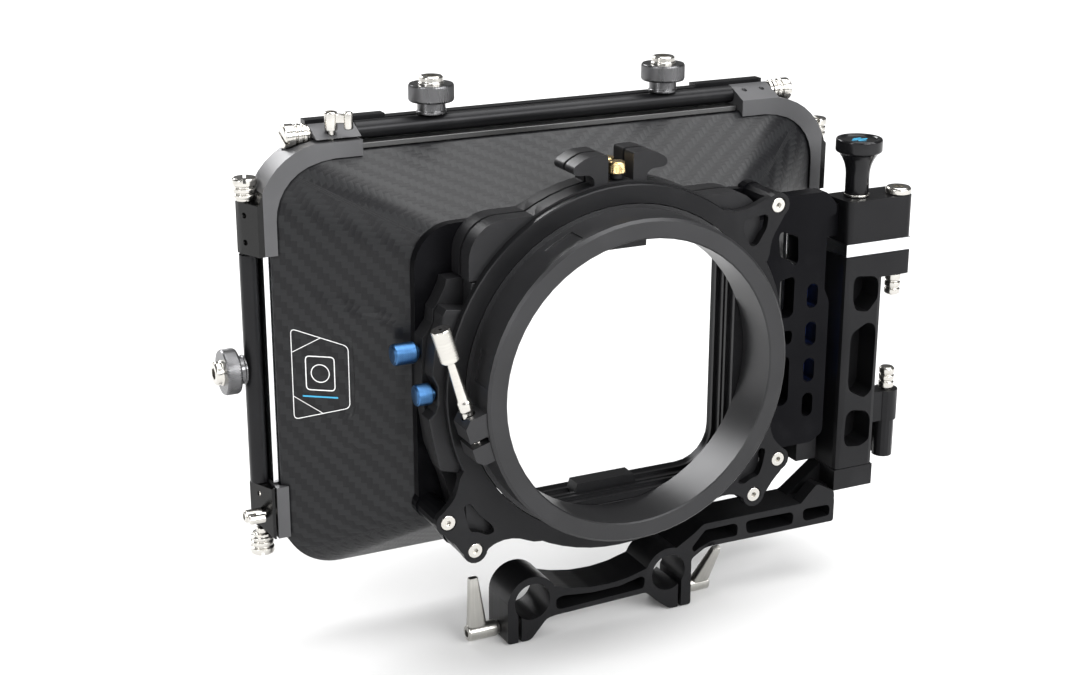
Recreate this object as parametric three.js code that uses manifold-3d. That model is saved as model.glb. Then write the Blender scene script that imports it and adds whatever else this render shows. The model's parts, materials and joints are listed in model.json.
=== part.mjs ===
// Swing-away matte box for 15 mm lightweight rods: rear clamp ring, two filter stages with trays,
// moulded hood with flag rails, hinge column and rod bridge.
// Millimetres. X to the right, Y forward along the lens axis, Z up.
// Sub-parts are drawn about the lens axis, with Y = 0 on the rear face of the clamp ring; the group
// then moves so that the origin is midway between the two rod axes, on the bridge's rear face.
import * as THREE from 'three';
import { mergeVertices } from 'three/addons/utils/BufferGeometryUtils.js';
import Module from 'manifold-3d';

const wasm = await Module();
wasm.setup();

// ---- driving dimensions -------------------------------------------------------------------------
const ROD = { radius: 7.5, spread: 30, drop: 93.9, rear: 29.7 };
const GAP = 0.3;
const RING = { bore: 54, outer: 61.4, flange: 63, seat: 16, front: 19, chamfer: 1 };
const LUG = { angle: 196.9, inner: 57, outer: 68.2, gap: -6.6, split: 1.2, screw: 64.2, back: 1.5, front: 12.5 };
const LUG_LENGTH = { upper: 9.6, lower: 8.8 };
const PLATE = { outer: 70.2, back: 16, front: 19, boss: 4.8 };
const POST = { radius: 4.5, ear: 5, bore: 1.8, depth: 25 };
const POSTS = [[-70.3, -47.6], [-59.7, -60.7], [59.7, -60.7], [70.3, -47.6], [65.5, 55.5]];
const FRAME = { halfX: 74, halfZ: 58.5, corner: 16, open: 51, openCorner: 14, back: 35, front: 39 };
const STAGE = { wall: 55, rail: 63.5, top: 40.5, floor: -53.5, foot: -58 };
const STAGE_NEAR = { back: 19.3, front: 27.1 };
const STAGE_FAR = { back: 27.4, front: 34.7 };
const TRAY = { half: 54.7, floor: -53.2, open: 49.8, groove: 51.2, corner: 14, crown: 71, thick: 6.9 };
const TRAY_BACKS = { near: 19.4, far: 27.8 };
const NECK = { halfX: 73.5, halfZ: 57.5, corner: 14, y: 39.3 };
const RIM = { halfX: 115.5, halfZ: 79.7, corner: 22, y: 69, lip: 80, wall: 1.6, flareWall: 2.4 };
const RAIL = { out: 6.1, y: 76.5, radius: 3.4, journal: 2.2, hole: 2.45, sideX: 121.6, topZ: 85.8 };
const RAIL_BAR = { back: 80.4, front: 85 };
const BLOCK = { back: 66.5, front: 80, low: 45, high: 64, inner: 80, outer: 97 };
const HINGE = { x: 134, y: 34.5, pin: 2, bore: 2.3 };
const COLUMN = { x0: 107.3, x1: 125.7, lug: 138.6, y0: 29.7, y1: 47, z0: -64, z1: 26, lugZ: 16.3 };
const TOP_BLOCK = { z0: 31.7, z1: 48.6, y1: 46.5 };
const LOCK = { x: 116.6, y: 38.3, pin: 2.5, bore: 2.8 };
const ARM = { front: 47.2, boss: 10.5, pocket: 42.5, lugFloor: -110, slotX: 35.3, screwZ: -106, screwY: 38.5 };
const MERGE = 1e-4;

// ---- materials ----------------------------------------------------------------------------------
const FINISHES = {
  black_anodised: [0x141416, 0.6, 0.45],
  knob_black: [0x2a2a2d, 0.7, 0.4],
  carbon_hood: [0x232426, 0.1, 0.4],
  steel: [0xb9b6b0, 1, 0.25],
  bright_strip: [0xd8d9dc, 1, 0.2],
  blue_anodised: [0x2f6fb4, 0.8, 0.35],
  brass: [0xc8a056, 1, 0.3],
};

function finish(name) {
  const [color, metalness, roughness] = FINISHES[name];
  return new THREE.MeshStandardMaterial({ name, color, metalness, roughness });
}

// ---- solids: flat outlines pushed along an axis, turned profiles, and booleans ---------------------
function isProper(a, b, c) {
  return a !== b && b !== c && c !== a;
}

function solid(geometry) {
  const bare = new THREE.BufferGeometry();
  bare.setAttribute('position', geometry.getAttribute('position').clone());
  if (geometry.index) {
    bare.setIndex(geometry.index.clone());
  }
  const merged = mergeVertices(bare, MERGE);
  const points = merged.getAttribute('position').array;
  const faces = [];
  let volume = 0;
  const corner = [new THREE.Vector3(), new THREE.Vector3(), new THREE.Vector3()];
  for (let i = 0; i < merged.index.count; i += 3) {
    const [a, b, c] = [0, 1, 2].map((k) => merged.index.getX(i + k));
    if (isProper(a, b, c)) {
      faces.push([a, b, c]);
      [a, b, c].forEach((v, k) => corner[k].fromArray(points, v * 3));
      volume += corner[0].dot(corner[1].cross(corner[2]));
    }
  }
  const outward = volume < 0 ? faces.map(([a, b, c]) => [a, c, b]) : faces;
  const triVerts = new Uint32Array(outward.flat());
  return new wasm.Manifold(new wasm.Mesh({ numProp: 3, vertProperties: points, triVerts }));
}

function cut(base, ...tools) {
  return tools.reduce((left, tool) => left.subtract(tool), base);
}

function join(base, ...others) {
  return others.reduce((left, other) => left.add(other), base);
}

function toGeometry(body) {
  const mesh = body.getMesh();
  const geometry = new THREE.BufferGeometry();
  geometry.setAttribute('position', new THREE.BufferAttribute(new Float32Array(mesh.vertProperties), 3));
  geometry.setIndex(new THREE.BufferAttribute(new Uint32Array(mesh.triVerts), 1));
  const flat = geometry.toNonIndexed();
  flat.computeVertexNormals();
  return flat;
}

function pushed(shape, low, high, segments) {
  return new THREE.ExtrudeGeometry(shape, { depth: high - low, bevelEnabled: false, curveSegments: segments });
}

// An outline in X and Z pushed along Y.
function slabY(shape, y0, y1, segments = 3) {
  return solid(pushed(shape, y0, y1, segments).rotateX(Math.PI / 2).translate(0, y1, 0));
}

// An outline in X and Y pushed along Z.
function slabZ(shape, z0, z1, segments = 3) {
  return solid(pushed(shape, z0, z1, segments).translate(0, 0, z0));
}

// An outline in Y and Z pushed along X.
function slabX(shape, x0, x1, segments = 3) {
  const turn = new THREE.Matrix4().makeBasis(
    new THREE.Vector3(0, 1, 0),
    new THREE.Vector3(0, 0, 1),
    new THREE.Vector3(1, 0, 0),
  );
  return solid(pushed(shape, x0, x1, segments).applyMatrix4(turn).translate(x0, 0, 0));
}

// A profile of [radius, height] pairs turned about Z.
function turned(profile, segments = 18) {
  const points = profile.map(([r, h]) => new THREE.Vector2(r, h));
  return solid(new THREE.LatheGeometry(points, segments).rotateX(Math.PI / 2));
}

// A profile of [radius, y] pairs turned about the lens axis.
function turnedY(profile, segments = 60) {
  const points = profile.map(([r, h]) => new THREE.Vector2(r, h));
  return solid(new THREE.LatheGeometry(points, segments));
}

function rodX(x0, x1, y, z, radius, segments = 16) {
  return turned([[0, x0], [radius, x0], [radius, x1], [0, x1]], segments).rotate([0, 90, 0]).translate([0, y, z]);
}

function rodY(x, z, y0, y1, radius, segments = 16) {
  const profile = [[0, y0], [radius, y0], [radius, y1], [0, y1]];
  return turnedY(profile, segments).translate([x, 0, z]);
}

function rodZ(x, y, z0, z1, radius, segments = 16) {
  return turned([[0, z0], [radius, z0], [radius, z1], [0, z1]], segments).translate([x, y, 0]);
}

function outline(points) {
  return new THREE.Shape(points.map(([x, y]) => new THREE.Vector2(x, y)));
}

// A polygon whose corners are eased over the given distance.
function softOutline(points, ease) {
  const shape = new THREE.Shape();
  const spots = points.map(([x, y]) => new THREE.Vector2(x, y));
  spots.forEach((here, i) => {
    const before = spots[(i + spots.length - 1) % spots.length];
    const after = spots[(i + 1) % spots.length];
    const back = here.distanceTo(before);
    const ahead = here.distanceTo(after);
    const reach = Math.min(ease, back * 0.49, ahead * 0.49);
    const entry = here.clone().lerp(before, reach / back);
    const exit = here.clone().lerp(after, reach / ahead);
    if (i === 0) {
      shape.moveTo(entry.x, entry.y);
    } else {
      shape.lineTo(entry.x, entry.y);
    }
    shape.quadraticCurveTo(here.x, here.y, exit.x, exit.y);
  });
  shape.closePath();
  return shape;
}

function rectangle(x0, y0, x1, y1) {
  return outline([[x0, y0], [x1, y0], [x1, y1], [x0, y1]]);
}

function roundedRectangle(halfX, halfY, radius) {
  const shape = new THREE.Shape();
  const x = halfX - radius;
  const y = halfY - radius;
  shape.absarc(x, y, radius, 0, Math.PI / 2, false);
  shape.absarc(-x, y, radius, Math.PI / 2, Math.PI, false);
  shape.absarc(-x, -y, radius, Math.PI, Math.PI * 1.5, false);
  shape.absarc(x, -y, radius, Math.PI * 1.5, Math.PI * 2, false);
  return shape;
}

// The outline of a straight-knurled wheel.
function toothed(radius, teeth, depth) {
  const points = [];
  for (let i = 0; i < teeth * 2; i += 1) {
    const r = i % 2 === 0 ? radius : radius - depth;
    const angle = Math.PI * i / teeth;
    points.push([r * Math.cos(angle), r * Math.sin(angle)]);
  }
  return outline(points);
}

function hexagon(radius) {
  return toothed(radius, 3, 0);
}

function mirrored(points) {
  return points.map(([x, z]) => [-x, z]).reverse();
}

// ---- clamp ring and its screw -----------------------------------------------------------------------
const lugAngle = THREE.MathUtils.degToRad(LUG.angle);

// A point given by its distance from the lens axis along the split, and its distance past the split.
function lugPoint(out, along) {
  const x = out * Math.cos(lugAngle) - along * Math.sin(lugAngle);
  const z = out * Math.sin(lugAngle) + along * Math.cos(lugAngle);
  return [x, z];
}

function lugSlab(points, y0, y1) {
  return slabY(outline(points.map(([out, along]) => lugPoint(out, along))), y0, y1);
}

function alongLug(body, y) {
  const [x, z] = lugPoint(LUG.screw, LUG.gap);
  return body.rotate([0, 180 - LUG.angle, 0]).translate([x, y, z]);
}

const LUG_MID = (LUG.back + LUG.front) / 2;

function clampRing() {
  const { bore, outer, flange, seat, front, chamfer } = RING;
  const hoop = turnedY([
    [bore + 0.5, 0], [outer - chamfer, 0], [outer, chamfer], [outer, seat], [flange, seat],
    [flange, front], [bore, front], [bore, 0.5], [bore + 0.5, 0],
  ]);
  const tip = LUG.outer - 2.5;
  const sleeve = bore + 3.4;
  const lugs = [[-1, LUG_LENGTH.upper], [1, LUG_LENGTH.lower]].map(([side, length]) => lugSlab([
    [LUG.inner, LUG.gap], [LUG.outer, LUG.gap], [LUG.outer, LUG.gap + side * (length - 2.5)],
    [tip, LUG.gap + side * length], [LUG.inner, LUG.gap + side * length],
  ], LUG.back, LUG.front));
  const low = LUG.gap - LUG.split;
  const high = LUG.gap + LUG.split;
  const split = join(
    lugSlab([[sleeve, low], [outer, low], [outer, high], [sleeve, high]], 2.6, front + 1),
    lugSlab([[outer - 0.2, low], [76, low], [76, high], [outer - 0.2, high]], -1, front + 1),
  );
  const clearance = alongLug(turned([[0, 0], [2.7, 0], [2.7, 12], [0, 12]]), LUG_MID);
  const thread = alongLug(turned([[0, -12], [2.3, -12], [2.3, 1], [0, 1]]), LUG_MID);
  const notches = [118, 168].map((degrees) => {
    const notch = slabY(rectangle(60.6, -6, 64, 6), 3, 12);
    return notch.rotate([0, -degrees, 0]);
  });
  return cut(join(hoop, ...lugs), split, clearance, thread, ...notches);
}

function ringThumbscrew() {
  const shank = turned([
    [0, -8], [1.6, -8], [2, -7.4], [2, 1], [2.4, 1.4], [2.4, 13], [2.2, 15], [1.6, 29], [1.6, 32], [0, 32],
  ], 14);
  const head = slabZ(toothed(3.6, 16, 0.35), 31.4, 43.8);
  return join(shank, head);
}

// ---- rear plate and its screws ------------------------------------------------------------------------
const EAR_LOWER = [
  [-50, -25], [-64.6, -28], [-67.4, -38.5], [-74.6, -45.6], [-73.2, -51.2], [-67.6, -56.6], [-64.2, -62.2],
  [-57, -64.6], [-54.6, -60.3], [-48.3, -58.2], [-41.8, -59], [-36.1, -62], [-30, -62],
];
const EAR_UPPER = [
  [36, 50], [41, 57.2], [46.6, 54.8], [54.5, 56.2], [62, 59.6], [69.5, 57], [69, 52.6], [62.8, 42.5],
  [62, 34], [50, 30],
];
const WINDOW_LOWER = [
  [-64.3, -42.2], [-61.8, -41.1], [-58.7, -45.7], [-52.7, -52], [-51.9, -54.5], [-54.8, -55.4], [-58.7, -53.2],
  [-61.4, -53], [-63.1, -48.8],
];
const WINDOW_UPPER = [[50.7, 51.4], [59.7, 52.8], [61.2, 51.6], [60.6, 47.3], [56.5, 40.9], [53.8, 40.8], [50.5, 47]];

function countersink(x, z) {
  const { back } = PLATE;
  const cone = turnedY([[0, back - 1], [3.2, back - 1], [3.2, back + 0.3], [1.8, back + 1.7], [1.8, 20], [0, 20]], 14);
  return cone.translate([x, 0, z]);
}

function rearPlate() {
  const { outer, back, front, boss } = PLATE;
  const disc = turnedY([[0, back], [outer - 0.4, back], [outer, back + 0.4], [outer, front], [0, front]], 72);
  const ears = [EAR_LOWER, mirrored(EAR_LOWER), EAR_UPPER].map((ear) => slabY(softOutline(ear, 3), back, front, 2));
  const bosses = POSTS.map(([x, z]) => rodY(x, z, back, front, boss, 16));
  const windows = [WINDOW_LOWER, mirrored(WINDOW_LOWER), WINDOW_UPPER].map((window) => (
    slabY(softOutline(window, 1.3), back - 1, front + 1, 2)
  ));
  const bore = rodY(0, 0, back - 1, front + 1, RING.flange + GAP, 72);
  const sinks = POSTS.map(([x, z]) => countersink(x, z));
  return cut(join(disc, ...ears, ...bosses), bore, ...windows, ...sinks);
}

function plateScrew() {
  const body = turned([[0, -8], [1.5, -8], [1.5, -1.6], [2.8, -0.3], [2.8, 0], [0, 0]], 14);
  return cut(body, slabZ(hexagon(1.1), -1.4, 1));
}

// ---- front frame, stages and trays --------------------------------------------------------------------
function frontFrame() {
  const { halfX, halfZ, corner, open, openCorner, back, front } = FRAME;
  const sheet = slabY(roundedRectangle(halfX, halfZ, corner), back, front, 4);
  const ears = POSTS.map(([x, z]) => rodY(x, z, back, front, POST.ear));
  const posts = POSTS.map(([x, z]) => rodY(x, z, PLATE.front + GAP, back + 1, POST.radius, 14));
  const bores = POSTS.map(([x, z]) => rodY(x, z, PLATE.front - 1, POST.depth, POST.bore, 12));
  const window = slabY(roundedRectangle(open, open, openCorner), back - 1, front + 1);
  return cut(join(sheet, ...ears, ...posts), window, ...bores);
}

const GRIP_NEAR = [
  [-58.7, 40.5], [-58.9, 30.5], [-68.5, 32.1], [-69.9, 29.7], [-70.3, 25.8], [-72.8, 20.2], [-74.1, 7.7],
  [-72.2, 3.8], [-72.2, -3.4], [-73.2, -5.9], [-75.7, -8.1], [-74.1, -17], [-71.6, -28.2], [-62.4, -31],
];
const GRIP_FAR = [
  [-64.9, 40.5], [-65.5, 37.9], [-68.4, 32.4], [-70.2, 30], [-70.6, 25], [-74.5, 19.9], [-74.9, -1.7],
  [-73.3, -11.8], [-72, -21.6], [-69.2, -29.6], [-66.7, -35.4], [-65.4, -40.5],
];

function stage(grip, { back, front }, knobZ, knobY) {
  const { wall, rail, top, floor, foot } = STAGE;
  const inside = [[-wall, top], ...grip];
  const body = slabY(outline([
    ...inside, [-61.9, -53], [-54.6, -55.5], [-54, foot], [54, foot], [54.6, -55.5], [rail, -53], [rail, top],
    [wall, top], [wall, floor + 8], [wall - 8, floor], [8 - wall, floor], [-wall, floor + 8],
  ]), back, front);
  const socket = rodX(-80, -64.5, knobY, knobZ, 1.8, 16);
  return cut(body, socket);
}

const WING = [
  [5.1, 66], [5.1, 81], [12.4, 81], [15.6, 79.7], [18.1, 78.2], [19, 77.1], [19.1, 75.8], [18.3, 74.8], [16.6, 74.4],
  [13, 74.3], [11.3, 73.4], [10.5, 71.8], [10.6, 70], [11.6, 68.4], [18, 66],
];

function tray(back, footTab) {
  const { half, floor, open, groove, corner, crown, thick } = TRAY;
  const front = back + thick;
  const mid = back + thick / 2;
  const lower = slabY(outline([
    [-half, 50], [-half, floor + 8], [-half + 8, floor], [half - 8, floor], [half, floor + 8], [half, 50],
  ]), back, front);
  const shoulders = slabY(roundedRectangle(59.7, 20, 14), back, front, 4).translate([0, 0, 42])
    .intersect(slabY(rectangle(-60, 41, 60, 63), back - 1, front + 1));
  const dome = rodY(0, 0, back, front, crown, 72)
    .intersect(slabY(rectangle(-34.6, 55, 34.6, 72), back - 1, front + 1));
  const wings = [WING, mirrored(WING)].map((wing) => slabY(softOutline(wing, 1.2), back, front, 2));
  const window = slabY(roundedRectangle(open, open + 0.5, corner), back - 1, front + 1).translate([0, 0, -0.5]);
  const seat = slabY(roundedRectangle(groove, groove + 0.3, corner), mid - 2.1, mid + 2.1).translate([0, 0, -0.5]);
  const tabs = [slabY(rectangle(-11, open - 4, 11, open + 3), back, front)];
  const foot = outline([[-13.5, floor + 1], [-12, -47.4], [12, -47.4], [13.5, floor + 1]]);
  if (footTab) tabs.push(slabY(foot, back, front));
  const socket = rodZ(0, mid, 62, 72, 1.8, 12);
  return cut(join(cut(join(lower, shoulders, dome, ...wings), window, seat), ...tabs), socket);
}

function trayScrew() {
  const shank = turned([[0, -8], [1.5, -8], [1.5, 0.3], [2.6, 0.3], [2.6, 2], [2, 2], [2, 2.5], [0, 2.5]], 12);
  return join(shank, slabZ(toothed(3.25, 14, 0.3), 2.3, 6.5));
}

function stageKnob(length, shank) {
  const stem = turned([[0, -shank], [1.5, -shank], [1.5, 0], [2.6, 0], [2.6, 1.4], [0, 1.4]], 12);
  return join(stem, slabZ(toothed(4, 18, 0.35), 1, length));
}

// ---- hood: a flared shell with folded sides ------------------------------------------------------------
// Each station is the share of the flare, 0 at the neck and 1 at the rim.
const FLARE = [0, 0.03, 0.12, 0.42, 0.47, 0.5, 0.88, 0.91, 0.96, 1];

function between(low, high, share) {
  return low + (high - low) * share;
}

// How far a side wall is pushed in, at a share of the flare, inside its creases and on its pad.
function foldDepth(share) {
  if (share < 0.1 || share > 0.95) {
    return 0;
  }
  return share < 0.45 ? -2.2 : -1.3;
}

function padDepth(share) {
  return share >= 0.49 && share <= 0.9 ? 0.5 : foldDepth(share);
}

function hoodRing(share, y, inset) {
  const halfX = between(NECK.halfX, RIM.halfX, share) - inset;
  const halfZ = between(NECK.halfZ, RIM.halfZ, share) - inset;
  const radius = between(NECK.corner, RIM.corner, share) - inset;
  const crease = between(22, 36, share);
  const pad = between(8, 19, share);
  const quarter = [[halfX + padDepth(share), pad], [halfX + foldDepth(share), pad + 1.6]];
  quarter.push([halfX + foldDepth(share), crease - 2.4], [halfX, crease]);
  for (let i = 0; i <= 6; i += 1) {
    const angle = Math.PI / 2 * i / 6;
    quarter.push([halfX - radius + radius * Math.cos(angle), halfZ - radius + radius * Math.sin(angle)]);
  }
  const half = [...quarter, ...quarter.map(([x, z]) => [-x, z]).reverse()];
  const loop = [...half, ...half.map(([x, z]) => [x, -z]).reverse()];
  return loop.map(([x, z]) => new THREE.Vector3(x, y, z));
}

function loft(rings) {
  const points = [];
  const faces = [];
  const around = rings[0].length;
  rings.forEach((ring) => ring.forEach((point) => points.push(point.x, point.y, point.z)));
  for (let i = 0; i < rings.length; i += 1) {
    const next = (i + 1) % rings.length;
    for (let j = 0; j < around; j += 1) {
      const k = (j + 1) % around;
      const [a, b] = [i * around + j, i * around + k];
      const [c, d] = [next * around + k, next * around + j];
      faces.push(a, b, c, a, c, d);
    }
  }
  const geometry = new THREE.BufferGeometry();
  geometry.setAttribute('position', new THREE.Float32BufferAttribute(points, 3));
  geometry.setIndex(faces);
  return solid(geometry);
}

function flareY(share) {
  return between(NECK.y, RIM.y, share);
}

function hoodShell() {
  const outer = FLARE.map((share) => hoodRing(share, flareY(share), 0));
  const inner = FLARE.map((share) => hoodRing(share, flareY(share), RIM.flareWall)).reverse();
  return loft([
    ...outer, hoodRing(1, RIM.lip, 0), hoodRing(1, RIM.lip, RIM.wall), hoodRing(1, RIM.y + 1, RIM.wall), ...inner,
  ]);
}

// The space the hood's rim takes up with its fitting gap.
function rimClearance() {
  const start = 0.6;
  return loft([
    hoodRing(start, flareY(start), -0.6), hoodRing(1, RIM.y, -0.6), hoodRing(1, RIM.lip + 1, -0.4),
    hoodRing(1, RIM.lip + 1, 9), hoodRing(1, RIM.y, 9), hoodRing(start, flareY(start), 9),
  ]);
}

function strip(halfLength) {
  return slabY(rectangle(-halfLength, 0, halfLength, 2), 70.5, 79.5);
}

// ---- corner brackets: a band round the rim's corner with end blocks that carry the flag rails ---------------
// A block's section across its rail, as [distance outside the rim, y].
function blockSection(low) {
  return [
    [low, BLOCK.back], [5, BLOCK.back], [9.1, 75.6], [9.6, 77.6], [8.4, 79.4], [RAIL.out, BLOCK.front],
    [low, BLOCK.front],
  ];
}

function sideBlock(z0, z1) {
  const points = blockSection(-2).map(([out, y]) => [RIM.halfX + out, y]);
  return slabZ(outline(points), z0, z1);
}

function topBlock(x0, x1) {
  const points = blockSection(-2).map(([out, y]) => [y, RIM.halfZ + out]);
  return slabX(outline(points), x0, x1);
}

// The upper bracket is drawn on the right; pair says which blocks are screwed and which are split.
function upperBracket(splitTop) {
  const { back, front, low, high, inner, outer } = BLOCK;
  const band = cut(
    slabY(roundedRectangle(RIM.halfX + 5, RIM.halfZ + 5, RIM.corner + 5), back, front, 5),
    slabY(roundedRectangle(RIM.halfX - 2, RIM.halfZ - 2, RIM.corner - 2), back - 1, front + 1, 4),
  );
  const corner = slabY(rectangle(inner, low, RIM.halfX + 6, RIM.halfZ + 6), back - 1, front + 1);
  const legs = band.intersect(corner);
  const blocks = [sideBlock(low, high), topBlock(inner, outer)];
  const journals = [
    rodZ(RAIL.sideX, RAIL.y, low - 1, high + 1, RAIL.hole, 20),
    rodX(inner - 1, outer + 1, RAIL.y, RAIL.topZ, RAIL.hole, 20),
  ];
  const scallops = [
    rodZ(RAIL.sideX, RAIL.y, high, high + 12, 5, 20),
    rodX(outer, outer + 12, RAIL.y, RAIL.topZ, 5, 20),
  ];
  const topDrills = [84.5, 92.5].map((x) => rodZ(x, 73, 83, 96, 1.1, 12));
  const sideDrills = [49.5, 59.5].map((z) => rodX(118, 130, 73, z, 1.1, 12));
  const jaw = slabX(rectangle(back - 1, RIM.halfZ + 4.6, RAIL.y, RIM.halfZ + 5.6), inner - 1, outer + 1);
  const leverBore = rodZ(90.3, 71, 80.5, 96, 1.5, 12);
  const details = splitTop ? [jaw, leverBore, ...sideDrills] : [...topDrills, ...sideDrills];
  return cut(join(cut(legs, ...scallops), ...blocks), rimClearance(), ...journals, ...details);
}

function lowerBracket() {
  const { back, front } = BLOCK;
  const section = [[-2.1, back], [4.6, back], [8.6, 75.4], [9.6, 77.6], [8.4, 79.4], [RAIL.out, front], [-2.1, front]];
  const block = slabZ(outline(section.map(([out, y]) => [RIM.halfX + out, y])), -65, -44.5);
  const chamfer = slabY(outline([[126, -58], [126, -66], [118.6, -66]]), back - 1, front + 1);
  const journal = rodZ(RAIL.sideX, RAIL.y, -66, -43, RAIL.hole, 20);
  const jaw = slabZ(rectangle(RIM.halfX + 2.6, back - 1, RIM.halfX + 3.4, RAIL.y), -66, -43);
  const leverBore = rodX(116.2, 130, 71, -55.5, 1.5, 12);
  const pinBore = rodX(119.6, 130, 73, -48.2, 0.9, 12);
  return cut(block, rimClearance(), chamfer, journal, jaw, leverBore, pinBore);
}

function reflectX(body) {
  return body.mirror([1, 0, 0]);
}

// ---- flag rails and their fittings ------------------------------------------------------------------------
// Drawn along X about the rail's own axis, with the hood below it and the bar ahead of it.
function flagRail({ tube, journal, bar, barLow, barHigh, recess, recessLow, recessHigh, knobs }) {
  const spine = turned([
    [0, -journal], [RAIL.journal, -journal], [RAIL.journal, -tube], [RAIL.radius, -tube],
    [RAIL.radius, tube], [RAIL.journal, tube], [RAIL.journal, journal], [0, journal],
  ], 24).rotate([0, 90, 0]);
  const y0 = RAIL_BAR.back - RAIL.y;
  const y1 = RAIL_BAR.front - RAIL.y;
  const face = slabX(rectangle(y0, barLow, y1, barHigh), -bar, bar);
  const hollow = slabX(rectangle(y0 - 1, recessLow, y1 + 1, recessHigh), -recess, recess);
  const web = slabX(rectangle(1, -1.5, y0 + 1, 1.5), 1 - tube, tube - 1);
  const sockets = knobs.map((x) => rodZ(x, 0, 1, 6, 1.8, 12));
  return cut(join(cut(face, hollow), spine, web), ...sockets);
}

function topRail() {
  return flagRail({
    tube: BLOCK.inner - GAP, journal: 95, bar: 97, barLow: -3.1, barHigh: 4.4, recess: 66, recessLow: 3.1,
    recessHigh: 6, knobs: [-49, 49],
  });
}

function sideRail() {
  return flagRail({
    tube: 44.2, journal: 62, bar: 64, barLow: -7.1, barHigh: 0.4, recess: 32, recessLow: -9, recessHigh: -5.9,
    knobs: [0.5],
  });
}

function flagKnob(stem, grip) {
  const base = stem + grip;
  const core = turned([
    [0, -2.2], [1.5, -2.2], [1.5, 0], [5.25, 0], [5.25, stem + 0.5], [4.5, stem + 0.5], [4.5, base + 2.4],
    [3.9, base + 3], [0, base + 3],
  ]);
  const dish = slabZ(hexagon(2.1), base + 1, base + 4);
  return cut(join(core, slabZ(toothed(8.6, 28, 0.5), stem, base)), dish);
}

function railPlunger(length) {
  const body = turned([
    [0, -1.6], [RAIL.journal, -1.6], [RAIL.journal, 0.4], [3.6, 0.4], [3.6, 1.6], [4.3, 2], [4.3, 3.6], [3.7, 4],
    [3.7, 4.8], [4.5, 5.4], [4.5, length - 0.5],
    [4.1, length], [0, length],
  ], 14);
  return cut(body, slabZ(rectangle(-6, -0.6, 6, 0.6), length - 1.5, length + 1));
}

// A crank lever: threaded stem, barrel, link and a finger post beside it.
function crankLever(stem) {
  const barrel = turned([[0, -stem], [1.2, -stem], [1.2, 0.3], [2.4, 0.3], [2.4, 7], [0, 7]], 14);
  const link = slabZ(rectangle(0, -1.1, 6.4, 1.1), 3.2, 6.4);
  const post = rodZ(6.4, 0, 0.6, 7, 1.7, 12);
  return cut(join(barrel, link, post), slabZ(hexagon(1.4), 4.6, 8));
}

// ---- swing side: plate, blue release bar, guide strip, top block, link -----------------------------------------
const PLATE_EDGE = [
  [74.5, -38.5], [76, -40], [76, -50], [95.6, -50], [101, -46.4], [101, 9.1], [96.4, 18.9], [95.4, 39.4],
  [99.6, 44.2], [102.4, 44.2], [102.4, 48.6], [97.4, 54], [74.5, 54],
];
const PLATE_WINDOWS = [
  [[76.2, 38.6], [77.4, 40.2], [85, 37.4], [85.6, 27.4], [84.2, 25.8], [77, 30.4]],
  [[77.6, 20.4], [83.4, 21.4], [84.3, 20.4], [84.3, 6.4], [82.6, 4.7], [77.6, 4.7]],
  [[77.6, -0.7], [83.4, -0.7], [84.3, -1.9], [84, -5.4], [82.8, -6.5], [77.6, -6.5]],
  [[77.6, -11.5], [82.6, -11.5], [83.6, -13], [83.6, -30], [81.6, -32], [77.6, -32]],
];

function swingPlate() {
  const sheet = slabY(softOutline(PLATE_EDGE, 1.4), 31, 38, 2);
  const tongue = slabY(rectangle(66, -38, 75.5, 46), 31, FRAME.back - GAP);
  const recess = slabY(rectangle(94, 0, 101, 45), 34.5, 38);
  const windows = PLATE_WINDOWS.map((window) => slabY(softOutline(window, 1), 30, 39, 2));
  const ovals = [12.3, -3.4, -18.7, -33.4].map((z) => (
    slabY(roundedRectangle(2.5, 5, 2.4), 30, 39, 2).translate([93, 0, z])
  ));
  const bridge = slabY(rectangle(97, 34, COLUMN.x0 - GAP, 47), 36, 45);
  return cut(join(sheet, tongue, recess, bridge), ...windows, ...ovals);
}

function topBlockHinge() {
  const { x0, lug, y0 } = COLUMN;
  const { z0, z1, y1 } = TOP_BLOCK;
  const body = slabZ(roundedRectangle((lug - x0) / 2, (y1 - y0) / 2, 3), z0, z1, 3)
    .translate([(lug + x0) / 2, (y1 + y0) / 2, 0]);
  const lockBore = rodZ(LOCK.x, LOCK.y, z0 - 1, z1 + 1, LOCK.bore);
  const pinBore = rodZ(HINGE.x, HINGE.y, z0 - 1, 41, HINGE.bore, 20);
  const capBore = rodZ(HINGE.x, HINGE.y, 44.5, z1 + 1, HINGE.bore, 20);
  return cut(body, lockBore, pinBore, capBore);
}

function columnSpacer() {
  const body = slabZ(rectangle(107.5, 29.9, 138.3, 46.4), COLUMN.z1 + GAP, TOP_BLOCK.z0 - GAP);
  const lockBore = rodZ(LOCK.x, LOCK.y, 20, 40, LOCK.bore);
  const pinBore = rodZ(HINGE.x, HINGE.y, 20, 40, HINGE.bore, 20);
  return cut(body, lockBore, pinBore);
}

function swingLink() {
  const pad = slabY(rectangle(94, -61, 103.4, -28.6), 38.3, 50);
  const bar = slabZ(rectangle(94, 47.6, 138, 52), -62, -48);
  const web = slabZ(rectangle(130.2, HINGE.y, 137.8, 51), -62, -48);
  const barrel = rodZ(HINGE.x, HINGE.y, -62.8, -47, 4.15);
  return cut(join(pad, bar, web, barrel), rodZ(HINGE.x, HINGE.y, -61, -46, HINGE.bore, 20));
}

function hingeCap() {
  const body = turned([
    [0, -3.4], [2, -3.4], [2, 0.3], [5.15, 0.3], [5.15, 2.4], [4.6, 3], [0, 3],
  ]);
  return cut(body, slabZ(hexagon(2), 1.6, 4));
}

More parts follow.
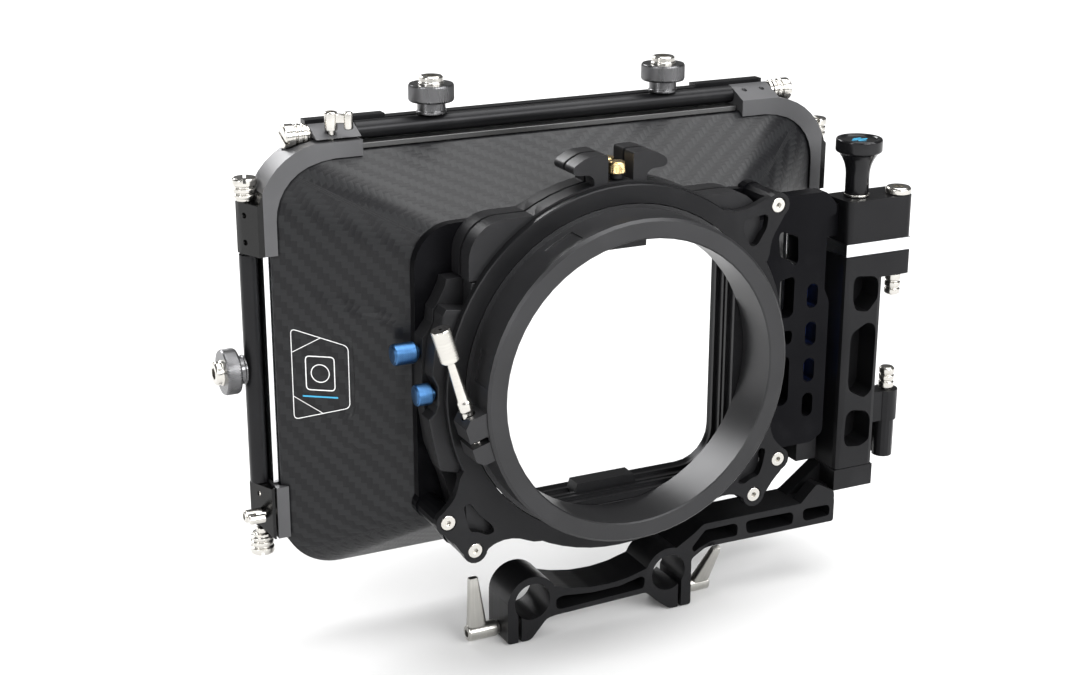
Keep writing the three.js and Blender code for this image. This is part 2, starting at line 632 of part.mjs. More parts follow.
function lockKnob() {
  return turned([
    [0, -22], [1.9, -22], [2.5, -21.2], [2.5, 0.3], [5.1, 0.3], [5.1, 1.2], [4.7, 1.4], [4.7, 9], [5.1, 12],
    [6, 14.8], [7.5, 17], [9.2, 18.4], [9.2, 22.8], [8.8, 23.4], [7.6, 23.4], [7.2, 22.7], [0, 23],
  ], 24);
}

// ---- hinge column and pins ---------------------------------------------------------------------------------
const COLUMN_POCKETS = [
  [[112.8, 18], [122, 17], [123.7, 14.3], [123.7, 7.6], [119.2, 2.4], [113.3, 3.6], [111.6, 8.4], [111.6, 15.9]],
  [[112.4, -5.6], [119.5, -1.9], [123.1, -3.5], [123.8, -8.1], [123.4, -31.6], [119.9, -34.5], [112.7, -30.7],
    [111.5, -27.5], [111.6, -8.4]],
  [[113.6, -38.8], [121.2, -40.2], [123.5, -43.4], [123.5, -53.2], [119.3, -55.4], [112.3, -54.6], [111.1, -51.4],
    [111.4, -41.2]],
];

function hingeColumn() {
  const { x0, x1, lug, y0, y1, z0, z1, lugZ } = COLUMN;
  const shaft = slabZ(softOutline([[x0, y0], [x1, y0], [x1, y1], [x0, y1]], 2), z0, z1, 2);
  const ledge = slabZ(softOutline([[x0, y0], [lug, y0], [lug, TOP_BLOCK.y1], [x0, TOP_BLOCK.y1]], 2), lugZ, z1, 2);
  const knuckle = rodZ(HINGE.x, HINGE.y, -46.7, -33.8, 4.9);
  const web = slabZ(rectangle(x1 - 2, 31.4, HINGE.x, 37.6), -46.7, -33.8);
  const pockets = COLUMN_POCKETS.map((pocket) => slabY(softOutline(pocket, 1.6), y0 - 1, y0 + 11, 2));
  const pinBores = [[lugZ - 1, z1 + 1], [-48, -32]].map(([low, high]) => (
    rodZ(HINGE.x, HINGE.y, low, high, HINGE.bore, 20)
  ));
  const lockBore = rodZ(LOCK.x, LOCK.y, 20.5, z1 + 1, LOCK.bore);
  return cut(join(shaft, ledge, knuckle, web), ...pockets, ...pinBores, lockBore);
}

// A quick-release pin: grooved thumb piece at the origin end and a long shaft.
function hingePin(shaft) {
  return turned([
    [0, -9.2], [2.7, -9.2], [3.15, -8.7], [3.15, -5.6], [2.6, -5.2], [2.6, -4], [3.15, -3.6], [3.15, -0.4],
    [HINGE.pin, -0.4], [HINGE.pin, shaft - 0.8], [1.3, shaft], [0, shaft],
  ], 16);
}

// ---- rod bridge ------------------------------------------------------------------------------------------------
const ARM_EDGE = [
  [-40.5, ARM.lugFloor], [-30.7, ARM.lugFloor], [-23.8, -102.3], [-20.4, -101.7], [19.9, -100.6], [25.6, -106],
  [30.9, ARM.lugFloor], [40.5, ARM.lugFloor], [40.4, -90.2], [46.5, -86.6], [49.1, -86.3], [108, -86.7], [108, -76],
  [45.6, -76.1], [41.4, -79.4], [29.4, -86.3], [21.4, -89.8], [11.4, -92.4], [3.6, -93.2], [-5.2, -92.9],
  [-14, -91.3], [-22.7, -88.6], [-30, -86], [-40.5, -92],
];
const ARM_POCKETS = [
  [[-19.8, -94.8], [-17, -94], [-4, -95.4], [8, -95.2], [17.6, -93], [19.4, -94.2], [18.8, -98.4], [-18.2, -99.6],
    [-19.8, -98.6]],
  [[40.4, -85.4], [46.4, -78.8], [60.2, -78.6], [61.7, -80], [61.4, -84.3], [49.6, -84.1], [43.8, -86.2], [41.4, -87.6]],
  [[65.4, -79.4], [67, -78.6], [87, -78.8], [88.4, -80.4], [87.7, -84.4], [67.5, -84.5], [66, -83.5]],
  [[92.8, -79.6], [94, -78.7], [105, -78.9], [106, -80.4], [105.8, -83.8], [94.5, -84.2], [93, -83]],
];
const ARM_PEAK = [[91.6, -77], [91.6, -76], [98.6, -69.1], [99.9, -69], [107.6, -73.1], [108, -77]];
const ARM_GUSSET = [[88, -78], [93, -75], [107.3, -64.3], [108, -64.3], [108, -78]];

function rodArm() {
  const { rear, radius, spread, drop } = ROD;
  const { front, boss, pocket, lugFloor, slotX, screwZ, screwY } = ARM;
  const beam = slabY(softOutline(ARM_EDGE, 1.2), rear, front, 2);
  const sides = [-1, 1];
  const bosses = sides.map((side) => rodY(side * spread, -drop, rear, front, boss, 32));
  const peak = slabY(softOutline(ARM_PEAK, 1), rear, 36, 2);
  const gusset = slabY(outline(ARM_GUSSET), 40, COLUMN.y1);
  const foot = slabY(rectangle(107.3, -73.2, 125.9, COLUMN.z0 - GAP), rear, COLUMN.y1);
  const heel = slabY(rectangle(104, -78, 108, -72), 34, front);
  const bores = sides.map((side) => rodY(side * spread, -drop, rear - 1, front + 1, radius, 40));
  const slots = sides.map((side) => (
    slabY(rectangle(side * slotX - 0.75, lugFloor - 1, side * slotX + 0.75, -drop), rear - 1, front + 1)
  ));
  const pockets = ARM_POCKETS.map((edge) => slabY(softOutline(edge, 1), rear - 1, pocket, 2));
  const screws = sides.map((side) => {
    const ends = [side * 31.6, side * 42].sort((a, b) => a - b);
    return rodX(ends[0], ends[1], screwY, screwZ, 1.8, 16);
  });
  return cut(join(beam, ...bosses, peak, gusset, foot, heel), ...bores, ...slots, ...pockets, ...screws);
}

// A clamp lever about Z: screw, barrel, and a tapered flat blade standing along Y from the barrel's outer half.
function rodLever(length) {
  const barrel = turned([
    [0, -8.6], [1.5, -8.6], [1.5, 0.3], [2.6, 0.3], [2.6, 1.2], [3.25, 1.6], [3.25, length - 0.4],
    [2.9, length], [0, length],
  ]);
  const edge = [[length - 0.3, 0], [length - 1, 22.6], [length - 4.6, 23.8], [length - 7.8, 4], [length - 7.8, 0]];
  const flat = softOutline(edge.map(([along, up]) => [-along, up]), 0.8);
  const blade = slabZ(flat, -2, 2, 2).rotate([0, 90, 0]);
  return cut(join(barrel, blade), slabZ(hexagon(1.6), length - 2, length + 1));
}

// ---- assembly -----------------------------------------------------------------------------------------------------
const matteBox = new THREE.Group();
matteBox.name = 'matte_box';
matteBox.position.set(0, -ROD.rear, ROD.drop);

const HALF = Math.PI / 2;
const FACING = {
  up: [0, 0, 0],
  down: [Math.PI, 0, 0],
  back: [HALF, 0, 0],
  right: [0, HALF, 0],
  left: [0, -HALF, 0],
};

function put(name, body, slot, position = [0, 0, 0], rotation = FACING.up) {
  const mesh = new THREE.Mesh(toGeometry(body), finish(slot));
  mesh.name = name;
  mesh.position.set(...position);
  mesh.rotation.set(...rotation);
  matteBox.add(mesh);
  return mesh;
}

put('clamp_ring', clampRing(), 'black_anodised');
const [screwX, screwZ] = lugPoint(LUG.screw, LUG.gap);
put('ring_thumbscrew', ringThumbscrew(), 'steel', [screwX, LUG_MID, screwZ], [0, Math.PI - lugAngle, 0]);
put('rear_plate', rearPlate(), 'black_anodised');
POSTS.forEach(([x, z], i) => {
  put(`plate_screw_${i + 1}`, plateScrew(), 'steel', [x, PLATE.back + 0.1, z], FACING.back);
});
put('front_frame', frontFrame(), 'black_anodised');
put('stage_near', stage(GRIP_NEAR, STAGE_NEAR, 0.5, 23.2), 'black_anodised');
put('stage_far', stage(GRIP_FAR, STAGE_FAR, 14, 31), 'black_anodised');
put('stage_knob_near', stageKnob(7, 5.6), 'blue_anodised', [-72.6, 23.2, 0.5], FACING.left);
put('stage_knob_far', stageKnob(9.6, 5.6), 'blue_anodised', [-75.1, 31, 14], FACING.left);
Object.entries(TRAY_BACKS).forEach(([where, back]) => {
  put(`tray_${where}`, tray(back, where === 'far'), 'black_anodised');
  put(`tray_screw_${where}`, trayScrew(), 'brass', [0, back + TRAY.thick / 2, TRAY.crown]);
});

put('hood_shell', hoodShell(), 'carbon_hood');
put('strip_top', strip(79.4), 'bright_strip', [0, 0, RIM.halfZ + 0.4]);
put('strip_left', strip(44), 'bright_strip', [-RIM.halfX - 0.4, 0, 0.2], [0, -HALF, 0]);
put('strip_right', strip(44), 'bright_strip', [RIM.halfX + 0.4, 0, 0.2], [0, HALF, 0]);

put('corner_bracket_top_left', reflectX(upperBracket(true)), 'black_anodised');
put('corner_bracket_top_right', upperBracket(false), 'black_anodised');
put('corner_bracket_bottom_left', reflectX(lowerBracket()), 'black_anodised');
put('corner_bracket_bottom_right', lowerBracket(), 'black_anodised');

put('rail_top', topRail(), 'black_anodised', [0, RAIL.y, RAIL.topZ]);
put('rail_left', sideRail(), 'black_anodised', [-RAIL.sideX, RAIL.y, 0], FACING.left);
put('rail_right', sideRail().mirror([1, 0, 0]), 'black_anodised', [RAIL.sideX, RAIL.y, 0], FACING.right);
[['left', -1], ['right', 1]].forEach(([side, sign]) => {
  const facing = FACING[side];
  put(`flag_knob_top_${side}`, flagKnob(4.6, 6.4), 'knob_black', [sign * 49, RAIL.y, RAIL.topZ + 3.7]);
  put(`flag_knob_${side}`, flagKnob(3, 5.5), 'knob_black', [sign * (RAIL.sideX + 3.7), RAIL.y, 0.5], facing);
  put(`plunger_top_${side}`, railPlunger(10), 'steel', [sign * BLOCK.outer, RAIL.y, RAIL.topZ], facing);
  put(`plunger_${side}_upper`, railPlunger(8.6), 'steel', [sign * RAIL.sideX, RAIL.y, BLOCK.high]);
  put(`plunger_${side}_lower`, railPlunger(8.6), 'steel', [sign * RAIL.sideX, RAIL.y, -65], FACING.down);
});
put('t_lever_top', crankLever(5.5), 'steel', [-90.3, 71, 87.6], [0, 0, -0.6]);
put('t_lever_left', crankLever(5.5), 'steel', [-122.9, 71, -55.5], [0, -HALF, -1.33]);
put('t_lever_right', crankLever(5.5), 'steel', [122.9, 71, -55.5], [0, HALF, -1.81]);

put('swing_plate', swingPlate(), 'black_anodised');
put('guide_strip', slabY(rectangle(84.6, -34, 89.4, 42), 38.3, 40.8), 'bright_strip');
put('release_bar', slabY(roundedRectangle(4.6, 24, 2), 38.3, 41.4), 'blue_anodised', [97.2, 0, -4]);
put('swing_link', swingLink(), 'black_anodised');
put('hinge_top_block', topBlockHinge(), 'black_anodised');
put('column_spacer', columnSpacer(), 'bright_strip');
put('hinge_cap', hingeCap(), 'steel', [HINGE.x, HINGE.y, TOP_BLOCK.z1]);
put('lock_knob', lockKnob(), 'knob_black', [LOCK.x, LOCK.y, TOP_BLOCK.z1]);
put('hinge_column', hingeColumn(), 'black_anodised');
put('hinge_pin_upper', hingePin(24), 'steel', [HINGE.x, HINGE.y, 16.1]);
put('hinge_pin_lower', hingePin(26.4), 'steel', [HINGE.x, HINGE.y, -33.6], FACING.down);
put('rod_arm', rodArm(), 'black_anodised');
put('rod_lever_left', rodLever(13.4), 'steel', [-40.5, ARM.screwY, ARM.screwZ], [0, -HALF, -HALF]);
put('rod_lever_right', rodLever(12.4), 'steel', [40.5, ARM.screwY, ARM.screwZ], [0, HALF, HALF + 0.52]);

export default matteBox;
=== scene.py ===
# Looks for the swing-away matte box: refined moving pieces, moulded hood, finishes, light and camera.
import json
import math

import bmesh
import bpy
from mathutils import Matrix, Vector


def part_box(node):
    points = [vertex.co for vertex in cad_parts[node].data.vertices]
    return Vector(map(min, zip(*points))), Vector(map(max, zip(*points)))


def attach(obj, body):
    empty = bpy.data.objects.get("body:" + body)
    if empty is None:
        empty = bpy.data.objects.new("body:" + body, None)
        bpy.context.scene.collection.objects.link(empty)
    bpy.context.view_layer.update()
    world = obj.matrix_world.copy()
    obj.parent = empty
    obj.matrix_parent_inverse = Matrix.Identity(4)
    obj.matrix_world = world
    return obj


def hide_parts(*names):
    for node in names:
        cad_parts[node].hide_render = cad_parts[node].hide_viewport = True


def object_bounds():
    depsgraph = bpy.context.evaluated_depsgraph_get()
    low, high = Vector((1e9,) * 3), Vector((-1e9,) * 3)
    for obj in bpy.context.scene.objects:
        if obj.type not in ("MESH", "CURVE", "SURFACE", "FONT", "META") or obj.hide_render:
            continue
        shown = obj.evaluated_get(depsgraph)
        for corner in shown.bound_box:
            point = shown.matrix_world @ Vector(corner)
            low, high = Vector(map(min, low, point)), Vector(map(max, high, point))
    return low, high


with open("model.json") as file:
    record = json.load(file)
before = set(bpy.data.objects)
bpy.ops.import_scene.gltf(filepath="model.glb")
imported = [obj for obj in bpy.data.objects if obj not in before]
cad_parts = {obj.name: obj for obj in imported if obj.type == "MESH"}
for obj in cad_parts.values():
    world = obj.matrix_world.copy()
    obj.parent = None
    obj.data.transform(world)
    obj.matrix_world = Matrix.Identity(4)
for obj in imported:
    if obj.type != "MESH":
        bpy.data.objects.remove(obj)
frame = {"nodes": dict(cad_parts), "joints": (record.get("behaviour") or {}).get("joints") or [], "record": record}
cad_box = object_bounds()
nodes = frame["nodes"]
joints = {joint["name"]: joint for joint in frame["joints"]}
body_of = {n: body for body, names in frame["record"]["behaviour"]["bodies"].items() for n in names}
scene = bpy.context.scene
MM = 0.001
SHARP_ANGLE = math.radians(32)    # an edge of the CAD nodes sharper than this is bevelled and drawn sharp
PART_SHARP_ANGLE = 34             # the same limit for the refined pieces, in degrees

# The lens axis, with Y = 0 on the clamp ring's rear face.
lens_face = next(m for m in frame["record"]["mounts"] if m["name"] == "lens_face")
AXIS = Vector((0, lens_face["pos_m"][1], lens_face["pos_m"][2]))


# ---- materials ---------------------------------------------------------------------------------
class Nodes:
    """A short way to wire a material's nodes."""

    def __init__(self, name):
        self.material = bpy.data.materials.new(name)
        self.material.use_nodes = True
        self.tree = self.material.node_tree
        self.shader = next(n for n in self.tree.nodes if n.type == "BSDF_PRINCIPLED")
        self.place = self.add("ShaderNodeTexCoord")

    def add(self, kind, **settings):
        node = self.tree.nodes.new(kind)
        for key, value in settings.items():
            setattr(node, key, value)
        return node

    def link(self, source, target):
        self.tree.links.new(source, target)

    def set(self, **values):
        names = {"metallic": "Metallic", "roughness": "Roughness", "coat": "Coat Weight",
                 "coat_roughness": "Coat Roughness", "specular": "Specular IOR Level",
                 "anisotropic": "Anisotropic", "ior": "IOR"}
        for key, value in values.items():
            self.shader.inputs[names[key]].default_value = value

    def math(self, operation, a, b=None):
        node = self.add("ShaderNodeMath", operation=operation)
        for socket, value in zip(node.inputs, (a, b)):
            if isinstance(value, (int, float)):
                socket.default_value = value
            elif value is not None:
                self.link(value, socket)
        return node.outputs[0]

    def noise(self, scale, detail=2.0, stretch=None, source="Object"):
        texture = self.add("ShaderNodeTexNoise")
        texture.inputs["Scale"].default_value = scale
        texture.inputs["Detail"].default_value = detail
        where = self.place.outputs[source]
        if stretch:
            mapping = self.add("ShaderNodeMapping")
            mapping.inputs["Scale"].default_value = stretch
            self.link(where, mapping.inputs["Vector"])
            where = mapping.outputs["Vector"]
        self.link(where, texture.inputs["Vector"])
        return texture.outputs["Fac"]

    def ramp(self, value, low, high, stops=(0.3, 0.7)):
        ramp = self.add("ShaderNodeValToRGB")
        ramp.color_ramp.elements[0].position, ramp.color_ramp.elements[1].position = stops
        ramp.color_ramp.elements[0].color = (*low, 1) if len(low) == 3 else low
        ramp.color_ramp.elements[1].color = (*high, 1) if len(high) == 3 else high
        self.link(value, ramp.inputs["Fac"])
        return ramp.outputs["Color"]

    def span(self, value, low, high):
        node = self.add("ShaderNodeMapRange")
        node.inputs["To Min"].default_value = low
        node.inputs["To Max"].default_value = high
        self.link(value, node.inputs["Value"])
        return node.outputs["Result"]

    def mix(self, share, a, b):
        node = self.add("ShaderNodeMix", data_type="RGBA")
        self.link(share, node.inputs["Factor"])
        for socket, value in ((node.inputs["A"], a), (node.inputs["B"], b)):
            if isinstance(value, tuple):
                socket.default_value = (*value, 1)
            else:
                self.link(value, socket)
        return node.outputs["Result"]

    def bump(self, height, strength, distance, under=None):
        node = self.add("ShaderNodeBump")
        node.inputs["Strength"].default_value = strength
        node.inputs["Distance"].default_value = distance
        self.link(height, node.inputs["Height"])
        if under:
            self.link(under, node.inputs["Normal"])
        return node.outputs["Normal"]

    def finish(self, color=None, roughness=None, normal=None):
        for value, name in ((color, "Base Color"), (roughness, "Roughness"), (normal, "Normal")):
            if value is not None:
                self.link(value, self.shader.inputs[name])
        return self.material


def handled(n, color, bright):
    """Faint handling marks, where the finish is a little polished."""
    marks = n.ramp(n.noise(70, 6), (0, 0, 0), (0.35, 0.35, 0.35), (0.58, 0.8))
    return n.mix(marks, color, bright)


def anodised(name, dark, light, rough, grain=5200, metallic=0.55, specular=0.45):
    n = Nodes(name)
    n.set(metallic=metallic, specular=specular)
    cloud = n.ramp(n.noise(26, 5), dark, light)
    color = handled(n, cloud, tuple(min(1, c * 1.6 + 0.004) for c in light))
    blasted = n.bump(n.noise(grain, 3), 0.07, 0.00003)
    scuffs = n.noise(40, 6, (1, 14, 1))
    return n.finish(color, n.span(scuffs, rough - 0.07, rough + 0.1), blasted)


def turned_metal(name, color, rough, lines=2600, metallic=1.0, shade=0.85):
    """Turned stock: fine rings about the axis of the piece, from its generated height."""
    n = Nodes(name)
    n.set(metallic=metallic)
    streaks = n.noise(1, 3, (lines * 0.02, lines * 0.02, lines * 0.5))
    base = n.ramp(streaks, tuple(c * shade for c in color), color)
    tone = n.mix(n.ramp(n.noise(90, 4), (0, 0, 0), (0.35, 0.35, 0.35)), base, tuple(c * 0.72 for c in color))
    normal = n.bump(streaks, 0.12, 0.00002)
    return n.finish(tone, n.span(n.noise(300, 3), rough - 0.06, rough + 0.08), normal)


RING_PITCH, BARREL_PITCH = 0.00035, 0.00045    # spacing of the lathe lines, in metres


def machined_ring(name):
    """Black ring faced on a lathe: faint rings about the lens axis."""
    n = Nodes(name)
    n.set(metallic=0.5, specular=0.5)
    split = n.add("ShaderNodeSeparateXYZ")
    n.link(n.place.outputs["Object"], split.inputs[0])
    height = n.math("SUBTRACT", split.outputs["Z"], AXIS.z)
    radius = n.math("SQRT", n.math("ADD", n.math("MULTIPLY", split.outputs["X"], split.outputs["X"]),
                                   n.math("MULTIPLY", height, height)))
    rings = n.math("SINE", n.math("MULTIPLY", radius, 2 * math.pi / RING_PITCH))
    along = n.math("SINE", n.math("MULTIPLY", split.outputs["Y"], 2 * math.pi / BARREL_PITCH))
    lines = n.math("ADD", rings, along)
    blasted = n.bump(n.noise(5200, 3), 0.12, 0.00002)
    normal = n.bump(lines, 0.05, 0.000008, blasted)
    cloud = n.ramp(n.noise(22, 5), (0.02, 0.02, 0.021), (0.032, 0.032, 0.034))
    color = handled(n, cloud, (0.045, 0.045, 0.047))
    return n.finish(color, n.span(n.noise(35, 5), 0.3, 0.42), normal)


BAND_EDGE = 0.1183    # how far from the middle the brackets' painted lit band ends; beyond it the sides are painted in shade


def bracket_lit_and_shaded(name):
    """A band painted light grey, a painted highlight for the lamps' sheen on the rear faces, with the rail blocks
    outside it painted near black as painted shade and made smoother.
    """
    n = Nodes(name)
    n.set(metallic=0.55, specular=0.6)
    split = n.add("ShaderNodeSeparateXYZ")
    n.link(n.place.outputs["Object"], split.inputs[0])
    # Painted light and shade: the lighter tone paints a highlight on the band, the near-black tone paints shade on
    # the side blocks; both are one anodised finish.
    shaded_sides = n.math("GREATER_THAN", n.math("ABSOLUTE", split.outputs["X"]), BAND_EDGE)
    satin_and_lit_band_tone = n.ramp(n.noise(26, 5), (0.07, 0.07, 0.073), (0.1, 0.1, 0.104))
    black = n.ramp(n.noise(40, 5), (0.003, 0.003, 0.003), (0.006, 0.006, 0.006))
    color = n.mix(shaded_sides, satin_and_lit_band_tone, black)
    blasted = n.bump(n.noise(5200, 3), 0.14, 0.00003)
    rough = n.math("SUBTRACT", n.span(n.noise(40, 6), 0.38, 0.5), n.math("MULTIPLY", shaded_sides, 0.22))
    return n.finish(color, rough, blasted)


def carbon_twill(name):
    """A two-by-two twill under satin resin; the weave follows the UV map, which is in tow widths."""
    n = Nodes(name)
    n.set(metallic=0.0, coat=0.08, coat_roughness=0.25, specular=0.2)
    split = n.add("ShaderNodeSeparateXYZ")
    n.link(n.place.outputs["UV"], split.inputs[0])
    u, v = split.outputs["X"], split.outputs["Y"]
    step = n.math("SUBTRACT", n.math("FLOOR", u), n.math("FLOOR", v))
    turn = n.math("FLOORED_MODULO", step, 4.0)
    over = n.math("LESS_THAN", turn, 2.0)
    warp = n.math("SINE", n.math("MULTIPLY", n.math("FRACT", u), math.pi))
    weft = n.math("SINE", n.math("MULTIPLY", n.math("FRACT", v), math.pi))
    fibres = n.noise(1, 3, (14, 0.6, 1), "UV")
    crossing = n.noise(1, 3, (0.6, 14, 1), "UV")
    height = n.add("ShaderNodeMix", data_type="FLOAT")
    n.link(over, height.inputs["Factor"])
    n.link(n.math("ADD", weft, crossing), height.inputs["A"])
    n.link(n.math("ADD", warp, fibres), height.inputs["B"])
    tone = n.mix(over, (0.005, 0.005, 0.006), (0.012, 0.0125, 0.0135))
    cloud = n.ramp(n.noise(14, 4), (0, 0, 0), (0.5, 0.5, 0.5))
    color = n.mix(cloud, tone, (0.008, 0.008, 0.009))
    resin = n.bump(n.noise(60, 3), 0.18, 0.0004)
    normal = n.bump(height.outputs["Result"], 0.3, 0.00022, resin)
    return n.finish(color, n.span(n.noise(25, 4), 0.34, 0.46), normal)


def brushed(name, color, rough):
    n = Nodes(name)
    n.set(metallic=1.0)
    lines = n.noise(700, 4, (0.06, 1, 0.06))
    base = n.ramp(lines, tuple(c * 0.88 for c in color), color)
    normal = n.bump(lines, 0.08, 0.00002)
    return n.finish(base, n.span(n.noise(30, 4), rough - 0.04, rough + 0.08), normal)


def painted(name, color):
    n = Nodes(name)
    n.set(metallic=0.0)
    base = n.ramp(n.noise(500, 4), tuple(c * 0.86 for c in color), color)
    normal = n.bump(n.noise(2500, 2), 0.1, 0.00001)
    return n.finish(base, n.span(n.noise(80, 3), 0.35, 0.5), normal)


def finishes():
    """Every finish by name: (dark, light) tones for anodising, one colour for bare metal and paint."""
    black = ((0.008, 0.008, 0.009), (0.014, 0.014, 0.015))
    satin_and_lit_band_tone = ((0.01, 0.01, 0.011), (0.018, 0.018, 0.0195))
    deep = ((0.004, 0.004, 0.005), (0.007, 0.007, 0.008))
    gunmetal = ((0.11, 0.11, 0.113), (0.17, 0.17, 0.175))
    blue = ((0.03, 0.1, 0.5), (0.05, 0.16, 0.7))
    hole = ((0.004, 0.004, 0.004), (0.008, 0.008, 0.008))
    return {
        "black_anodised": anodised("black_anodised", *black, 0.34, specular=0.3),
        "satin_black": anodised("satin_black", *satin_and_lit_band_tone, 0.42, specular=0.45),
        "deep_black": anodised("deep_black", *deep, 0.3, specular=0.06),
        "machined_black": machined_ring("machined_black"),
        "knob_black": anodised("knob_black", *gunmetal, 0.27, metallic=0.95),
        "bracket_lit_and_shaded": bracket_lit_and_shaded("bracket_lit_and_shaded"),
        # Painted light: the release bar's blue is painted brighter than the knobs' blue anodising so it reads in
        # the shade of the plate's slots.
        "blue_bar": anodised("blue_bar", *blue, 0.3, metallic=0.35),
        # Painted shade: the top strip is the same bright strip as the side ones, painted dark grey for the darker
        # reflection it shows.
        "top_strip_painted_shade": brushed("top_strip_painted_shade", (0.1, 0.1, 0.1), 0.38),
        "lock_black": anodised("lock_black", *black, 0.2, metallic=0.5),
        "carbon_hood": carbon_twill("carbon_hood"),
        "steel": turned_metal("steel", (0.66, 0.64, 0.6), 0.2),
        "lever_steel": turned_metal("lever_steel", (0.5, 0.49, 0.46), 0.3),
        "bright_strip": brushed("bright_strip", (0.86, 0.87, 0.88), 0.16),
        "blue_anodised": turned_metal("blue_anodised", (0.065, 0.17, 0.36), 0.3, shade=0.7),
        "brass": turned_metal("brass", (0.8, 0.6, 0.3), 0.24),
        "mark_white": painted("mark_white", (0.8, 0.8, 0.8)),
        "mark_blue": painted("mark_blue", (0.04, 0.36, 0.6)),
        # Painted shade: near-black tones for screw heads that should read as dark holes.
        "hole_painted_shade": anodised("hole_painted_shade", *hole, 0.5),
    }


MATERIALS = finishes()


# ---- mesh parts, in millimetres about +Z: lists of (vertices, faces) -----------------------------
def eased(profile, ease):
    """Rounds the corners of a turned profile with short curves."""
    out = [profile[0]]
    for before, here, after in zip(profile, profile[1:], profile[2:]):
        a, h, b = Vector(before), Vector(here), Vector(after)
        reach = min(ease, (a - h).length * 0.45, (b - h).length * 0.45)
        start = h + (a - h).normalized() * reach
        end = h + (b - h).normalized() * reach
        for t in (0, 0.33, 0.67, 1):
            point = start.lerp(h, t).lerp(h.lerp(end, t), t)
            out.append((point.x, point.y))
    out.append(profile[-1])
    return out


def loft(rings, closed=False):
    """Skins rings of equal length; a ring of one point is a pole."""
    verts, faces, starts = [], [], []
    for ring in rings:
        starts.append(len(verts))
        verts.extend(ring)
    pairs = list(zip(range(len(rings)), range(1, len(rings))))
    if closed:
        pairs.append((len(rings) - 1, 0))
    for low, high in pairs:
        a, b = starts[low], starts[high]
        count = max(len(rings[low]), len(rings[high]))
        for i in range(count):
            j = (i + 1) % count
            if len(rings[low]) == 1:
                faces.append((a, b + j, b + i))
            elif len(rings[high]) == 1:
                faces.append((a + i, a + j, b))
            else:
                faces.append((a + i, a + j, b + j, b + i))
    return verts, faces


def circle(radius, z, count, sides=0):
    """A ring of points; with sides, the outline of that polygon."""
    if radius <= 1e-6:
        return [(0, 0, z)]
    points = []
    for i in range(count):
        angle = 2 * math.pi * i / count
        r = radius
        if sides:
            part = math.pi / sides
            r = radius * math.cos(part) / math.cos((angle + part) % (2 * part) - part)
        points.append((r * math.cos(angle), r * math.sin(angle), z))
    return points


def turned(profile, count=48, ease=0.18, socket=None):
    """A turned piece; socket is (hex radius, depth) sunk into its last face."""
    rings = [circle(r, z, count) for r, z in eased(profile, ease)]
    if socket:
        radius, depth = socket
        top = profile[-1][1]
        rings += [circle(radius, z, count, 6) for z in (top, top - depth)]
        rings.append([(0, 0, top - depth * 1.15)])
    return loft(rings)


def triangle_wave(value):
    share = value % 1.0
    return 1 - abs(2 * share - 1)


def knurl(radius, low, high, pitch=0.95, depth=0.28, chamfer=0.7, bore=1.0):
    """A diamond-knurled wheel rim, closed to a small bore."""
    around = max(12, round(2 * math.pi * radius / pitch))
    count = around * 4
    steps = max(6, round((high - low) / pitch * 4))
    inset = radius - chamfer
    rings = [circle(bore, low, count), circle(inset - 0.3, low, count), circle(inset, low, count)]
    for k in range(steps + 1):
        z = low + (high - low) * k / steps
        edge = min(1, min(z - low, high - z) / chamfer)
        ring = []
        for i in range(count):
            turn = i / 4
            lift = min(triangle_wave(turn + z / pitch), triangle_wave(turn - z / pitch))
            r = radius - chamfer * 0.6 * (1 - edge) ** 1.5 - depth * (1 - lift) * edge
            angle = 2 * math.pi * i / count
            ring.append((r * math.cos(angle), r * math.sin(angle), z))
        rings.append(ring)
    rings += [circle(inset, high, count), circle(inset - 0.3, high, count), circle(bore, high, count)]
    return loft(rings)


def bar(outline, low, high, chamfer=0.3):
    """A flat outline pushed along Z, with chamfered rims."""
    count = len(outline)
    area = sum(outline[i][0] * outline[(i + 1) % count][1] - outline[(i + 1) % count][0] * outline[i][1]
               for i in range(count))
    sign = 1 if area > 0 else -1
    inner = []
    for i in range(count):
        before, here, after = (Vector(outline[(i + k) % count]) for k in (-1, 0, 1))
        ahead = ((here - before).normalized() + (after - here).normalized()).normalized()
        inner.append((here.x - sign * ahead.y * chamfer, here.y + sign * ahead.x * chamfer))
    levels = [(inner, low), (outline, low + chamfer), (outline, high - chamfer), (inner, high)]
    rings = [[(x, y, z) for x, y in points] for points, z in levels]
    verts, faces = loft(rings)
    faces.append(tuple(reversed(range(count))))
    faces.append(tuple(range(count * 3, count * 4)))
    return verts, faces


def moved(part, matrix):
    verts, faces = part
    return [tuple(matrix @ Vector(v)) for v in verts], faces


def build(name, parts, material, smooth=PART_SHARP_ANGLE):
    """One object from mesh parts given in millimetres about its own origin."""
    verts, faces = [], []
    for part_verts, part_faces in parts:
        start = len(verts)
        verts.extend(Vector(v) * MM for v in part_verts)
        faces.extend(tuple(i + start for i in face) for face in part_faces)
    mesh = bpy.data.meshes.new(name)
    mesh.from_pydata([tuple(v) for v in verts], [], faces)
    shell = bmesh.new()
    shell.from_mesh(mesh)
    bmesh.ops.remove_doubles(shell, verts=shell.verts, dist=1e-7)
    bmesh.ops.recalc_face_normals(shell, faces=shell.faces)
    shell.to_mesh(mesh)
    shell.free()
    mesh.shade_smooth()
    mesh.set_sharp_from_angle(angle=math.radians(smooth))
    obj = bpy.data.objects.new(name, mesh)
    scene.collection.objects.link(obj)
    mesh.materials.append(MATERIALS[material])
    return obj


